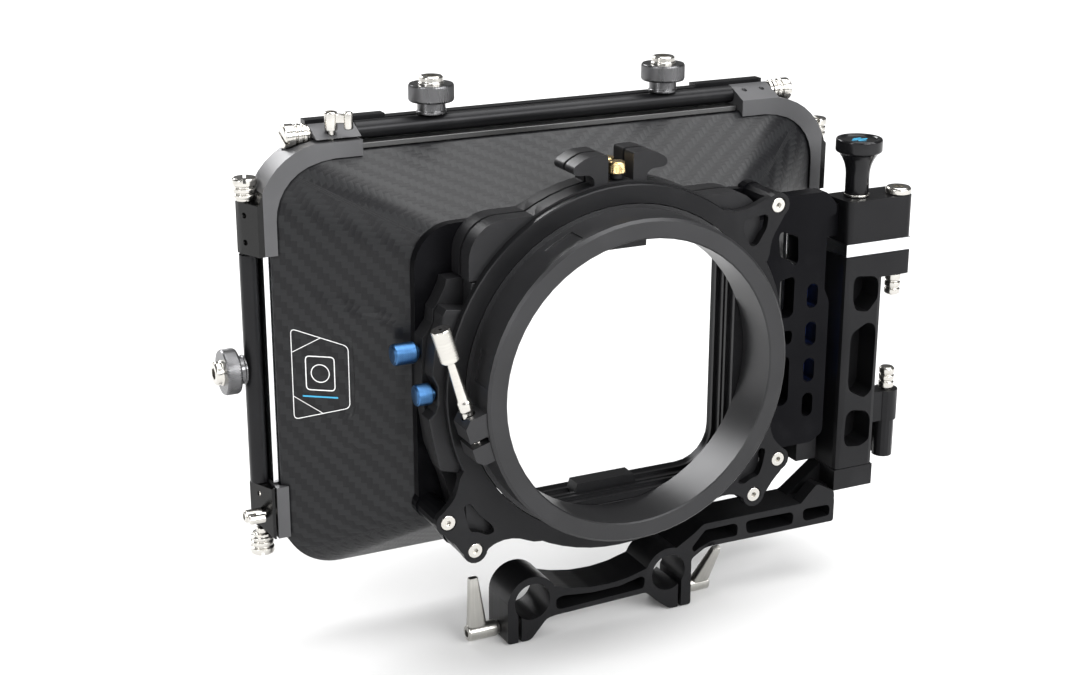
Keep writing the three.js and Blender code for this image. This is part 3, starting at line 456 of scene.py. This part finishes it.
def carve(obj, cutter_parts):
    """Cuts the parts out of obj, both about the same origin."""
    cutter = build("cutter", cutter_parts, "hole_painted_shade")
    cut = obj.modifiers.new("cut", "BOOLEAN")
    cut.operation = "DIFFERENCE"
    cut.object = cutter
    cut.solver = "EXACT"
    carved = bpy.data.meshes.new_from_object(obj.evaluated_get(bpy.context.evaluated_depsgraph_get()))
    obj.modifiers.clear()
    obj.data = carved
    carved.shade_smooth()
    carved.set_sharp_from_angle(angle=math.radians(PART_SHARP_ANGLE))
    bpy.data.objects.remove(cutter)
    return obj


def box_block(low, high, chamfer=0.05):
    (x0, y0, z0), (x1, y1, z1) = low, high
    return bar([(x0, y0), (x1, y0), (x1, y1), (x0, y1)], z0, z1, chamfer)


# ---- placing a piece on a CAD node --------------------------------------------------------------
def aimed(axis, toward, origin):
    """Places local +Z along axis and local +X as near as it can to toward."""
    side = (toward - axis * toward.dot(axis)).normalized()
    turn = Matrix((side, axis.cross(side), axis)).transposed().to_4x4()
    return Matrix.Translation(origin) @ turn


def seat(node, direction, sunk=0.0, toward=None):
    """Places local +Z along direction, with the origin sunk millimetres in from the node's inner end."""
    low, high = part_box(node)
    centre = (low + high) / 2
    axis = Vector(direction).normalized()
    reach = sum(abs(a) * (h - l) for a, l, h in zip(axis, low, high)) / 2
    origin = centre - axis * (reach - sunk * MM)
    usual = (0, 1, 0) if abs(axis.y) < 0.9 else (0, 0, 1)
    return aimed(axis, Vector(toward or usual), origin)


def joint_seat(name, depth_point, toward):
    """Like seat, on a joint's own axis, with the origin level with depth_point."""
    joint = joints[name]
    axis = Vector(joint["axis"]).normalized()
    start = Vector(joint["pos_m"])
    origin = start + axis * (Vector(depth_point) - start).dot(axis)
    return aimed(axis, Vector(toward), origin)


def stand_for(obj, node, matrix):
    """Puts obj in place of a CAD node, on that node's body, and hides the node."""
    obj.matrix_world = matrix
    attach(obj, body_of[node])
    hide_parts(node)
    return obj


def add_on(obj, body, matrix=None):
    if matrix is not None:
        obj.matrix_world = matrix
    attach(obj, body)
    return obj


def second_part(name, parts, material, body, matrix):
    return add_on(build(name, parts, material), body, matrix)


# ---- CAD nodes that keep their shape: eased edges and finishes ------------------------------------
GENTLE_ANGLE = math.radians(10.5)    # a facet of a curved face turns from the next by this much,
GENTLE_SPREAD = math.radians(10)     # give or take this much


def smooth_tree():
    """Shades curved faces smooth up to SHARP_ANGLE; flat faces keep their own normals."""
    tree = bpy.data.node_groups.new("smooth_by_angle", "GeometryNodeTree")
    tree.interface.new_socket("Geometry", in_out="INPUT", socket_type="NodeSocketGeometry")
    tree.interface.new_socket("Geometry", in_out="OUTPUT", socket_type="NodeSocketGeometry")
    entry = tree.nodes.new("NodeGroupInput")
    leave = tree.nodes.new("NodeGroupOutput")
    faces = tree.nodes.new("GeometryNodeSetShadeSmooth")
    edges = tree.nodes.new("GeometryNodeSetShadeSmooth")
    edges.domain = "EDGE"
    angle = tree.nodes.new("GeometryNodeInputMeshEdgeAngle")
    under = tree.nodes.new("ShaderNodeMath")
    under.operation = "LESS_THAN"
    under.inputs[1].default_value = SHARP_ANGLE
    gentle = tree.nodes.new("FunctionNodeCompare")
    gentle.operation = "EQUAL"
    gentle.inputs["A"].default_value = GENTLE_ANGLE
    gentle.inputs["Epsilon"].default_value = GENTLE_SPREAD
    on_edges = tree.nodes.new("GeometryNodeFieldOnDomain")
    on_edges.domain = "EDGE"
    curved = tree.nodes.new("FunctionNodeCompare")
    curved.operation = "GREATER_THAN"
    curved.inputs["B"].default_value = 0.01
    for source, target in (
        (angle.outputs["Unsigned Angle"], gentle.inputs["B"]),
        (gentle.outputs[0], on_edges.inputs["Value"]),
        (on_edges.outputs["Value"], curved.inputs["A"]),
        (curved.outputs[0], faces.inputs["Shade Smooth"]),
        (entry.outputs[0], faces.inputs["Geometry"]),
        (faces.outputs[0], edges.inputs["Geometry"]),
        (angle.outputs["Unsigned Angle"], under.inputs[0]),
        (under.outputs[0], edges.inputs["Shade Smooth"]),
        (edges.outputs[0], leave.inputs[0]),
    ):
        tree.links.new(source, target)
    return tree


SMOOTH = smooth_tree()


def ease_node(name, material, width):
    """Gives a CAD node its finish, bevelled edges of that width in millimetres and clean shading."""
    node = nodes[name]
    node.data.materials.clear()
    node.data.materials.append(MATERIALS[material])
    weld = node.modifiers.new("weld", "WELD")
    weld.merge_threshold = 2e-6
    bevel = node.modifiers.new("bevel", "BEVEL")
    bevel.width = width * MM
    bevel.segments = 2
    bevel.limit_method = "ANGLE"
    bevel.angle_limit = SHARP_ANGLE
    smooth = node.modifiers.new("smooth", "NODES")
    smooth.node_group = SMOOTH
    weighted = node.modifiers.new("weighted", "WEIGHTED_NORMAL")
    weighted.keep_sharp = True
    weighted.weight = 80


KEPT = {
    ("machined_black", 0.25): ["clamp_ring"],
    ("black_anodised", 0.3): ["rear_plate", "rod_arm"],
    ("deep_black", 0.3): ["front_frame"],
    ("satin_black", 0.5): ["stage_near", "stage_far"],
    ("satin_black", 0.35): ["tray_near", "tray_far"],
    # the top strip takes a dark grey that is painted shade
    ("top_strip_painted_shade", 0.2): ["strip_top"],
    ("bright_strip", 0.2): ["strip_left", "strip_right", "guide_strip"],
    # the brackets' finish carries a painted highlight on the band and painted shade on the sides
    ("bracket_lit_and_shaded", 0.25): ["corner_bracket_top_left", "corner_bracket_top_right",
                              "corner_bracket_bottom_left", "corner_bracket_bottom_right"],
    ("black_anodised", 0.2): ["rail_top", "rail_left", "rail_right"],
    ("deep_black", 0.35): ["swing_plate"],
    # the release bar's brighter blue is painted light
    ("blue_bar", 0.3): ["release_bar"],
    ("black_anodised", 0.4): ["swing_link", "hinge_top_block", "hinge_column"],
    ("bright_strip", 0.25): ["column_spacer"],
}
for (finish_name, bevel_width), kept in KEPT.items():
    for node_name in kept:
        ease_node(node_name, finish_name, bevel_width)


# ---- hood: half width, half height, corner radius and depth of its neck and rim, in millimetres -----
NECK_X, NECK_Z, NECK_R, NECK_Y = 73.5, 57.5, 14.0, 39.3
RIM_X, RIM_Z, RIM_R, RIM_Y, LIP_Y = 115.5, 79.7, 22.0, 69.0, 80.0
SLOPE = math.hypot(RIM_X - NECK_X, RIM_Y - NECK_Y)    # length of the flare's side wall
FLARE_STEPS = 56
CORNER_STEPS = 16
FLARE_WALL, LIP_WALL = 2.4, 1.6
TOW = 2.3    # width of one tow of the weave


def ease_step(value):
    t = max(0.0, min(1.0, value))
    return t * t * (3 - 2 * t)


def fold(share, z):
    """How far a side wall stands out at a share of the flare and a height."""
    crease = 22 + 14 * share
    inside = ease_step((crease + 1 - abs(z)) / 3.4)
    swell = ease_step((share - 0.02) / 0.06) * ease_step((1 - share) / 0.8)
    height = swell * (1.9 + 1.1 * z / crease)
    half = 8 + 12.5 * share
    on_pad = ease_step((half + 1.8 - abs(z)) / 2.6)
    on_pad *= ease_step((share - 0.385) / 0.045) * ease_step((0.93 - share) / 0.04)
    return inside * height * (1 - on_pad) + on_pad * 0.15


def hood_ring(share, y, inset):
    """Points round one section, with how far each lies along its wall from the wall's middle."""
    half_x = NECK_X + (RIM_X - NECK_X) * share - inset
    half_z = NECK_Z + (RIM_Z - NECK_Z) * share - inset
    radius = NECK_R + (RIM_R - NECK_R) * share - inset
    quarter = []
    for i in range(26):
        z = (half_z - radius) * i / 25
        quarter.append((half_x + fold(share, z), z, z))
    for i in range(1, CORNER_STEPS):
        angle = math.pi / 2 * i / CORNER_STEPS
        x = half_x - radius + radius * math.cos(angle)
        z = half_z - radius + radius * math.sin(angle)
        swept = radius * angle
        if i <= CORNER_STEPS / 2:
            along = half_z - radius + swept
        else:
            along = half_x - radius + radius * (math.pi / 2) - swept
        quarter.append((x, z, along))
    for i in range(14):
        x = (half_x - radius) * (1 - i / 13)
        quarter.append((x, half_z, x))
    half = quarter + [(-x, z, along) for x, z, along in reversed(quarter[:-1])]
    loop = half + [(x, -z, -along) for x, z, along in reversed(half[1:-1])]
    return [((x, y, z), along) for x, z, along in loop]


def make_hood():
    """The moulded skin: each ring goes with how far up the wall it lies, for the weave."""
    shares = [s / FLARE_STEPS for s in range(FLARE_STEPS + 1)]
    stations = [(share, NECK_Y + (RIM_Y - NECK_Y) * share) for share in shares]
    outer = [(hood_ring(s, y, 0), s * SLOPE) for s, y in stations]
    outer += [(hood_ring(1, RIM_Y + t, 0), SLOPE + t) for t in (0.4, 2, 5, 8, 10.6)]
    outer.append((hood_ring(1, LIP_Y, 0.4), SLOPE + 11))
    inner = [(hood_ring(1, LIP_Y, 1.2), SLOPE + 12), (hood_ring(1, LIP_Y - 0.4, LIP_WALL), SLOPE + 12)]
    inner += [(hood_ring(1, RIM_Y + 1, LIP_WALL), SLOPE + 1)]
    inner += [(hood_ring(s, y, FLARE_WALL), s * SLOPE) for s, y in reversed(stations)]
    rings = outer + inner
    verts, faces = loft([[point for point, _ in ring] for ring, _ in rings], closed=True)
    mesh = bpy.data.meshes.new("hood_skin")
    mesh.from_pydata([tuple(Vector(v) * MM + AXIS) for v in verts], [], faces)
    weave = mesh.uv_layers.new(name="weave")
    spots = [(along / TOW, up / TOW) for ring, up in rings for _, along in ring]
    for loop in mesh.loops:
        weave.data[loop.index].uv = spots[loop.vertex_index]
    shell = bmesh.new()
    shell.from_mesh(mesh)
    bmesh.ops.recalc_face_normals(shell, faces=shell.faces)
    shell.to_mesh(mesh)
    shell.free()
    mesh.shade_smooth()
    mesh.set_sharp_from_angle(angle=math.radians(50))
    obj = bpy.data.objects.new("hood_skin", mesh)
    scene.collection.objects.link(obj)
    mesh.materials.append(MATERIALS["carbon_hood"])
    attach(obj, "matte_box")
    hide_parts("hood_shell")
    return obj


make_hood()


# A plain emblem on each side pad: a bordered plate outline with a lens-in-frame sign.
PAD_RISE = 0.5    # how far the emblem's base stands off the plain flare


def pad_point(side, share, z, lift):
    x = NECK_X + (RIM_X - NECK_X) * share + PAD_RISE
    y = NECK_Y + (RIM_Y - NECK_Y) * share
    normal = Vector((RIM_Y - NECK_Y, -(RIM_X - NECK_X), 0)).normalized()
    point = Vector((x, y, z)) + normal * lift
    return Vector((side * point.x, point.y, point.z))


def ribbon(side, points, width, closed=True):
    """A thin flat line on the pad through (share, z) points."""
    flat = [Vector((s * SLOPE, z)) for s, z in points]
    count = len(flat)
    verts, faces = [], []
    for i, here in enumerate(flat):
        before = flat[i - 1] if closed or i > 0 else here
        after = flat[(i + 1) % count] if closed or i < count - 1 else here
        ahead = ((here - before).normalized() + (after - here).normalized()).normalized()
        across = Vector((-ahead.y, ahead.x)) * width / 2
        for offset, lift in ((across, 0.03), (across, 0.09), (-across, 0.09), (-across, 0.03)):
            spot = here + offset
            verts.append(tuple(pad_point(side, spot.x / SLOPE, spot.y, lift)))
    last = count if closed else count - 1
    for i in range(last):
        a, b = i * 4, (i + 1) % count * 4
        for k in range(4):
            m = (k + 1) % 4
            faces.append((a + k, b + k, b + m, a + m))
    if not closed:
        faces.append((0, 1, 2, 3))
        faces.append(tuple(last * 4 + k for k in (3, 2, 1, 0)))
    return verts, faces


def rounded_path(points, ease):
    """Eases the corners of a closed (share, z) path by a distance in millimetres."""
    flat = [Vector((s * SLOPE, z)) for s, z in points]
    out = []
    for i, here in enumerate(flat):
        before, after = flat[i - 1], flat[(i + 1) % len(flat)]
        start = here + (before - here).normalized() * min(ease, (before - here).length * 0.45)
        end = here + (after - here).normalized() * min(ease, (after - here).length * 0.45)
        for t in (0, 0.2, 0.4, 0.6, 0.8, 1):
            spot = start.lerp(here, t).lerp(here.lerp(end, t), t)
            out.append((spot.x / SLOPE, spot.y))
    return out


def make_emblem(side, label):
    border = rounded_path([(0.455, -11.9), (0.455, 11.9), (0.87, 17.6), (0.87, -17.6)], 2.0)
    sign = rounded_path([(0.56, -5.6), (0.56, 7.4), (0.77, 7.4), (0.77, -5.6)], 1.6)
    lens_share, lens_height, lens_radius, lens_steps = 0.665, 0.9, 3.4, 40
    ring = []
    for i in range(lens_steps):
        angle = 2 * math.pi * i / lens_steps
        across = lens_share + lens_radius * math.cos(angle) / SLOPE
        ring.append((across, lens_height + lens_radius * math.sin(angle)))
    white = [ribbon(side, border, 0.3), ribbon(side, sign, 0.4), ribbon(side, ring, 0.36)]
    for top in (1, -1):
        white.append(ribbon(side, [(0.655, top * 14.6), (0.865, top * 8.6)], 0.26, closed=False))
    blue = [ribbon(side, [(0.54, -8.2), (0.8, -8.2)], 0.6, closed=False)]
    where = Matrix.Translation(AXIS)
    second_part(f"emblem_{label}", white, "mark_white", "matte_box", where)
    second_part(f"emblem_line_{label}", blue, "mark_blue", "matte_box", where)


make_emblem(-1, "left")
make_emblem(1, "right")


# ---- knobs, plungers, pins and levers: turned profiles are (radius, height) pairs -------------------
def flag_knob(node, direction, stem, grip):
    base = stem + grip
    where = seat(node, direction, 2.2)
    stalk = turned([(0, -2.2), (1.5, -2.2), (1.5, 0), (5.6, 0), (5.6, stem * 0.2), (5.3, stem * 0.28),
                    (5.3, stem + 0.5), (0, stem + 0.5)])
    body = build(node + "_grip", [stalk, knurl(8.6, stem, base, chamfer=0.8)], "knob_black")
    stand_for(body, node, where)
    button = turned([(0, base - 1), (4.9, base - 1), (4.9, base + 0.5), (4.5, base + 0.9), (4.5, base + 2.4),
                     (3.9, base + 3), (2.9, base + 3)], socket=(2.3, 2.4))
    second_part(node + "_button", [button], "steel", body_of[node], where)


flag_knob("flag_knob_top_left", (0, 0, 1), 4.6, 6.4)
flag_knob("flag_knob_top_right", (0, 0, 1), 4.6, 6.4)
flag_knob("flag_knob_left", (-1, 0, 0), 3.0, 5.5)
flag_knob("flag_knob_right", (1, 0, 0), 3.0, 5.5)


def plunger(node, direction, length):
    profile = [(0, -1.6), (2.2, -1.6), (2.2, 0.4), (3.6, 0.4), (3.6, 1.4), (4.3, 1.7), (4.3, 2.6),
               (3.75, 2.9), (3.75, 3.3), (4.3, 3.6), (4.3, 4.9), (3.7, 5.2), (3.7, 5.7), (4.5, 6.1),
               (4.5, length - 0.5), (4.1, length), (0, length)]
    body = build(node + "_cap", [turned(profile, ease=0.14)], "steel")
    carve(body, [box_block((-6, -0.55, length - 1.4), (6, 0.55, length + 1))])
    stand_for(body, node, seat(node, direction, 1.6, toward=(0.3, 1, 0.4)))


for side, sign in (("left", -1), ("right", 1)):
    plunger(f"plunger_top_{side}", (sign, 0, 0), 10.0)
    plunger(f"plunger_{side}_upper", (0, 0, 1), 8.6)
    plunger(f"plunger_{side}_lower", (0, 0, -1), 8.6)


def hinge_pin(node, direction, shaft):
    thumb = 9.2
    low = -thumb
    rings = [(0, low), (2.5, low), (3.15, low + 0.7), (3.15, low + 2.4), (2.6, low + 2.7), (2.6, low + 3.3),
             (3.15, low + 3.6), (3.15, low + 5.2), (2.6, low + 5.5), (2.6, low + 6.1), (3.15, low + 6.4),
             (3.15, -0.5), (2, -0.5), (2, shaft - 0.8), (1.3, shaft), (0, shaft)]
    body = build(node + "_thumb", [turned(rings, ease=0.14)], "steel")
    stand_for(body, node, seat(node, direction, thumb))


hinge_pin("hinge_pin_upper", (0, 0, 1), 24.0)
hinge_pin("hinge_pin_lower", (0, 0, -1), 26.4)


def crank_lever(node, joint):
    low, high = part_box(node)
    axis = Vector(joints[joint]["axis"])
    centre = (low + high) / 2
    shank = 5.5
    inner = centre - axis * (abs(axis.dot(high - low)) / 2 - shank * MM)
    toward = centre - Vector(joints[joint]["pos_m"])
    where = joint_seat(joint, inner, toward)
    profile = [(0, -shank), (1.2, -shank), (1.2, 0.3), (2.4, 0.3), (2.4, 6.6), (2.1, 7), (1.8, 7)]
    barrel = turned(profile, socket=(1.35, 2.2))
    post = moved(turned([(0, 0.6), (1.3, 0.6), (1.7, 1), (1.7, 6.6), (1.3, 7), (0, 7)], count=32),
                 Matrix.Translation((6.4, 0, 0)))
    edge = [(0, 1.5), (2.2, 1.15), (4.4, 0.9), (6.4, 1.1)]
    link = bar([(x, -y) for x, y in edge] + edge[::-1], 2.8, 6.2, 0.35)
    stand_for(build(node + "_crank", [barrel, post, link], "steel"), node, where)


for place in ("top", "left", "right"):
    crank_lever(f"t_lever_{place}", f"t_lever_{place}_turn")


def rod_lever(node, joint, length, lean):
    axis = Vector((1 if node.endswith("right") else -1, 0, 0))
    low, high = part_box(node)
    shank = 8.6
    inner = Vector((high.x if axis.x < 0 else low.x, 0, 0)) + axis * shank * MM
    pivot = Vector(joints[joint]["pos_m"])
    up = Vector((0, -math.sin(lean), math.cos(lean)))
    turn = Matrix((up.cross(axis), up, axis)).transposed().to_4x4()
    where = Matrix.Translation((inner.x, pivot.y, pivot.z)) @ turn
    barrel = turned([(0, -shank), (1.5, -shank), (1.5, 0.3), (2.6, 0.3), (2.6, 1.2), (3.25, 1.6),
                     (3.25, length - 0.5), (2.8, length), (2.4, length)], socket=(1.7, 2.0))
    rings = [[(0, 0.4, length - 3.6)]]
    for t in (0, 0.06, 0.2, 0.4, 0.6, 0.8, 0.93, 1):
        top = length - 0.3 - 0.7 * t
        foot = length - 7.8 + 3.2 * max(0, t - 0.15) / 0.85
        thick = (2.0 - 0.5 * t) * (0.75 if t == 1 else 1)
        ring = []
        for i in range(28):
            angle = 2 * math.pi * i / 28
            c, s = math.cos(angle), math.sin(angle)
            x = thick * math.copysign(abs(c) ** 0.4, c)
            z = (top + foot) / 2 + (top - foot) / 2 * math.copysign(abs(s) ** 0.4, s)
            ring.append((x, 0.4 + 22.6 * t, z))
        rings.append(ring)
    rings.append([(0, 23.2, length - 2.8)])
    stand_for(build(node + "_blade", [barrel, loft(rings)], "lever_steel", 40), node, where)


rod_lever("rod_lever_left", "rod_lever_left_turn", 13.4, 0.0)
rod_lever("rod_lever_right", "rod_lever_right_turn", 12.4, 0.52)


def thumbscrew():
    where = joint_seat("ring_thumbscrew_turn", joints["ring_thumbscrew_turn"]["pos_m"], (0, 1, 0))
    shank = turned([(0, -8), (1.6, -8), (2, -7.4), (2, 1), (2.2, 1.4), (2.2, 11), (2.6, 11.6), (2.6, 14.6),
                    (2.2, 15.6), (1.65, 30.2), (2.0, 31.6), (0, 32)], ease=0.3)
    crests = [(1.8 + 0.25 * (i % 2), -3 + i * 0.35) for i in range(16)]
    thread = turned([(0, -3), *crests, (0, 2.3)], 32, 0.02)
    body = build("ring_thumbscrew_head", [shank, thread, knurl(3.6, 31.4, 43.8, 0.7, 0.2, 0.5, 0.6)], "steel")
    stand_for(body, "ring_thumbscrew", where)


thumbscrew()


def tray_screw(node):
    where = seat(node, (0, 0, 1), 8.0)
    shank = turned([(0, -8), (1.5, -8), (1.5, 0.3), (2.6, 0.3), (2.6, 2), (0, 2)], 32)
    second_part(node + "_collar", [shank], "black_anodised", body_of[node], where)
    head = build(node + "_head", [knurl(3.25, 2.3, 6.4, 0.62, 0.18, 0.4, 0.5),
                                  turned([(0, 1.6), (2, 1.6), (2, 2.6), (0, 2.6)], 24),
                                  turned([(0, 6), (2.2, 6), (2.2, 6.5), (0, 6.5)], 32)], "brass")
    stand_for(head, node, where)


tray_screw("tray_screw_near")
tray_screw("tray_screw_far")


def stage_knob(node, length, shank):
    where = seat(node, (-1, 0, 0), shank)
    stem = turned([(0, -shank), (1.5, -shank), (1.5, 0), (2.6, 0), (2.6, 1.4), (0, 1.4)], 32)
    head = knurl(4, 1, length - 0.3, 0.72, 0.2, 0.6, 0.6)
    dome = turned([(3.2, length - 0.5), (3.0, length - 0.1), (0, length)], 40)
    stand_for(build(node + "_grip", [stem, head, dome], "blue_anodised"), node, where)


stage_knob("stage_knob_near", 7.0, 5.6)
stage_knob("stage_knob_far", 9.6, 5.6)


def plate_screw(node):
    profile = [(0, -8), (1.5, -8), (1.5, -1.6), (2.8, -0.35), (2.8, -0.1), (2.6, 0), (1.7, 0)]
    body = build(node + "_head", [turned(profile, ease=0.08, socket=(1.15, 1.3))], "steel")
    stand_for(body, node, seat(node, (0, -1, 0), 8.0))


for i in range(1, 6):
    plate_screw(f"plate_screw_{i}")


def hinge_cap():
    profile = [(0, -3.4), (2, -3.4), (2, 0.3), (5.15, 0.3), (5.15, 2.2), (4.5, 3), (3.2, 3)]
    body = build("hinge_cap_bolt", [turned(profile, ease=0.25, socket=(2.3, 1.8))], "steel")
    stand_for(body, "hinge_cap", seat("hinge_cap", (0, 0, 1), 3.4))


hinge_cap()


def lock_knob():
    where = seat("lock_knob", (0, 0, 1), 22.0)
    profile = [(0, -22), (1.9, -22), (2.5, -21.2), (2.5, 1.2), (4.7, 1.3), (4.7, 9), (4.9, 11), (5.5, 13.4),
               (6.5, 15.6), (7.8, 17.4), (9.1, 18.3), (9.2, 18.8), (9.2, 22.8), (8.8, 23.4), (7.6, 23.4),
               (7.2, 22.7), (0, 22.7)]
    stand_for(build("lock_knob_grip", [turned(profile, 64, 0.5)], "lock_black"), "lock_knob", where)
    collar = turned([(2.6, 0.3), (5.1, 0.3), (5.1, 1.15), (4.8, 1.3), (2.6, 1.3)], 48, 0.15)
    second_part("lock_knob_collar", [collar], "steel", "lock_knob", where)
    bars = [box_block((x - 0.3, abs(x) - 3.6, 22.6), (x + 0.3, 3.6 - abs(x), 22.85)) for x in (-1.8, 0, 1.8)]
    second_part("lock_knob_sign", bars, "mark_blue", "lock_knob", where)


lock_knob()


# ---- small screws set into the brackets ----------------------------------------------------------
def set_screw(label, point, direction, radius=1.0, material="steel"):
    axis = Vector(direction).normalized()
    toward = Vector((0, 0, 1)) if abs(axis.z) < 0.9 else Vector((1, 0, 0))
    where = aimed(axis, toward, Vector(point))
    profile = [(0, -2), (radius, -2), (radius, -0.15), (radius - 0.12, 0), (radius * 0.75, 0)]
    part = turned(profile, 36, 0.06, socket=(radius * 0.55, 0.9))
    second_part(label, [part], material, "matte_box", where)


def bracket_screws():
    left_low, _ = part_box("corner_bracket_top_left")
    right_low, right_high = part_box("corner_bracket_top_right")
    screw_y = left_low.y + 6.5 * MM
    sunk = 2.6 * MM
    for row, rise in enumerate((4.5, 14.5)):
        height = left_low.z + rise * MM
        set_screw(f"bracket_screw_left_{row}", (left_low.x + sunk, screw_y, height), (-1, 0, 0))
        set_screw(f"bracket_screw_right_{row}", (right_high.x - sunk, screw_y, height), (1, 0, 0))
        on_top = (right_low.x + (4.5 + 8 * row) * MM, screw_y, right_high.z - sunk)
        # Painted shade: these top screw heads are drawn near black so they read as shaded holes.
        set_screw(f"bracket_screw_top_{row}", on_top, (0, 0, 1), material="hole_painted_shade")
    for side, sign in (("left", -1), ("right", 1)):
        low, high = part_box(f"corner_bracket_bottom_{side}")
        edge = low.x if side == "left" else high.x
        spot = (edge - sign * 2.1 * MM, screw_y, high.z - 3.7 * MM)
        set_screw(f"jaw_screw_{side}", spot, (sign, 0, 0), 0.85)


bracket_screws()


# ---- floor, light and camera, in metres -----------------------------------------------------------
FLOOR_REACH, FLOOR_GAP, FLOOR_TONE = 30.0, 0.0005, 0.62
WORLD_STRENGTH = 0.12
SUN_STRENGTH, SUN_ANGLE, SUN_DIRECTION = 4.0, 56, (-0.22, 0.03, -0.97)
LAMP_TARGET = (0, 0, 0.09)
SOFTBOXES = [    # name, place, size, power
    ("back_bank", (-0.5, 1.7, 1.1), (1.3, 0.6), 32),
    ("left_bank", (-1.5, -0.5, 0.8), (0.35, 1.2), 12),
    ("left_key", (-1.1, -1.25, 1.0), (0.8, 0.8), 6),
    ("right_bank", (1.3, -1.3, 0.9), (0.6, 1.2), 14),
    ("key", (0.35, -1.6, 0.95), (1.1, 0.6), 28),
]
EYE = (-0.30906, -0.57800, 0.32157)
TURN, TILT, ROLL = 26.01, 18.48, 0.10    # the camera's angles, in degrees
LENS, SENSOR = 61.7, 36.0


def lay_floor():
    floor_mesh = bpy.data.meshes.new("floor")
    level = cad_box[0][2] - FLOOR_GAP
    corners = [(FLOOR_REACH * x, FLOOR_REACH * y, level) for x, y in ((-1, -1), (1, -1), (1, 1), (-1, 1))]
    floor_mesh.from_pydata(corners, [], [(0, 1, 2, 3)])
    floor = bpy.data.objects.new("floor", floor_mesh)
    scene.collection.objects.link(floor)
    pale = Nodes("pale_floor")
    pale.set(metallic=0.0, roughness=0.85)
    pale.shader.inputs["Base Color"].default_value = (FLOOR_TONE, FLOOR_TONE, FLOOR_TONE, 1)
    floor_mesh.materials.append(pale.material)


def light():
    world = bpy.data.worlds.new("studio")
    scene.world = world
    world.use_nodes = True
    sky_light = world.node_tree.nodes["Background"]
    sky_light.inputs["Color"].default_value = (1, 1, 1, 1)
    sky_light.inputs["Strength"].default_value = WORLD_STRENGTH
    sky = bpy.data.lights.new("overhead", "SUN")
    sky.energy = SUN_STRENGTH
    sky.angle = math.radians(SUN_ANGLE)
    above = bpy.data.objects.new("overhead", sky)
    scene.collection.objects.link(above)
    above.rotation_euler = Vector(SUN_DIRECTION).to_track_quat("-Z", "Y").to_euler()
    for name, spot, size, power in SOFTBOXES:
        lamp = bpy.data.lights.new(name, "AREA")
        lamp.shape = "RECTANGLE"
        lamp.size, lamp.size_y = size
        lamp.energy = power
        obj = bpy.data.objects.new(name, lamp)
        scene.collection.objects.link(obj)
        obj.location = spot
        obj.rotation_euler = (Vector(LAMP_TARGET) - Vector(spot)).to_track_quat("-Z", "Y").to_euler()


def camera():
    turn, tilt, roll = math.radians(TURN), math.radians(TILT), math.radians(ROLL)
    ahead = Vector((math.sin(turn) * math.cos(tilt), math.cos(turn) * math.cos(tilt), -math.sin(tilt)))
    right = Vector((math.cos(turn), -math.sin(turn), 0))
    up = right.cross(ahead)
    pose = Matrix((right, up, -ahead)).transposed().to_4x4()
    lens = bpy.data.cameras.new("camera")
    lens.sensor_width = SENSOR
    lens.lens = LENS
    lens.clip_start = 0.01
    obj = bpy.data.objects.new("camera", lens)
    scene.collection.objects.link(obj)
    obj.matrix_world = Matrix.Translation(EYE) @ pose @ Matrix.Rotation(roll, 4, "Z")
    scene.camera = obj


lay_floor()
light()
camera()
scene.view_settings.view_transform = "Standard"
scene.cycles.use_denoising = True
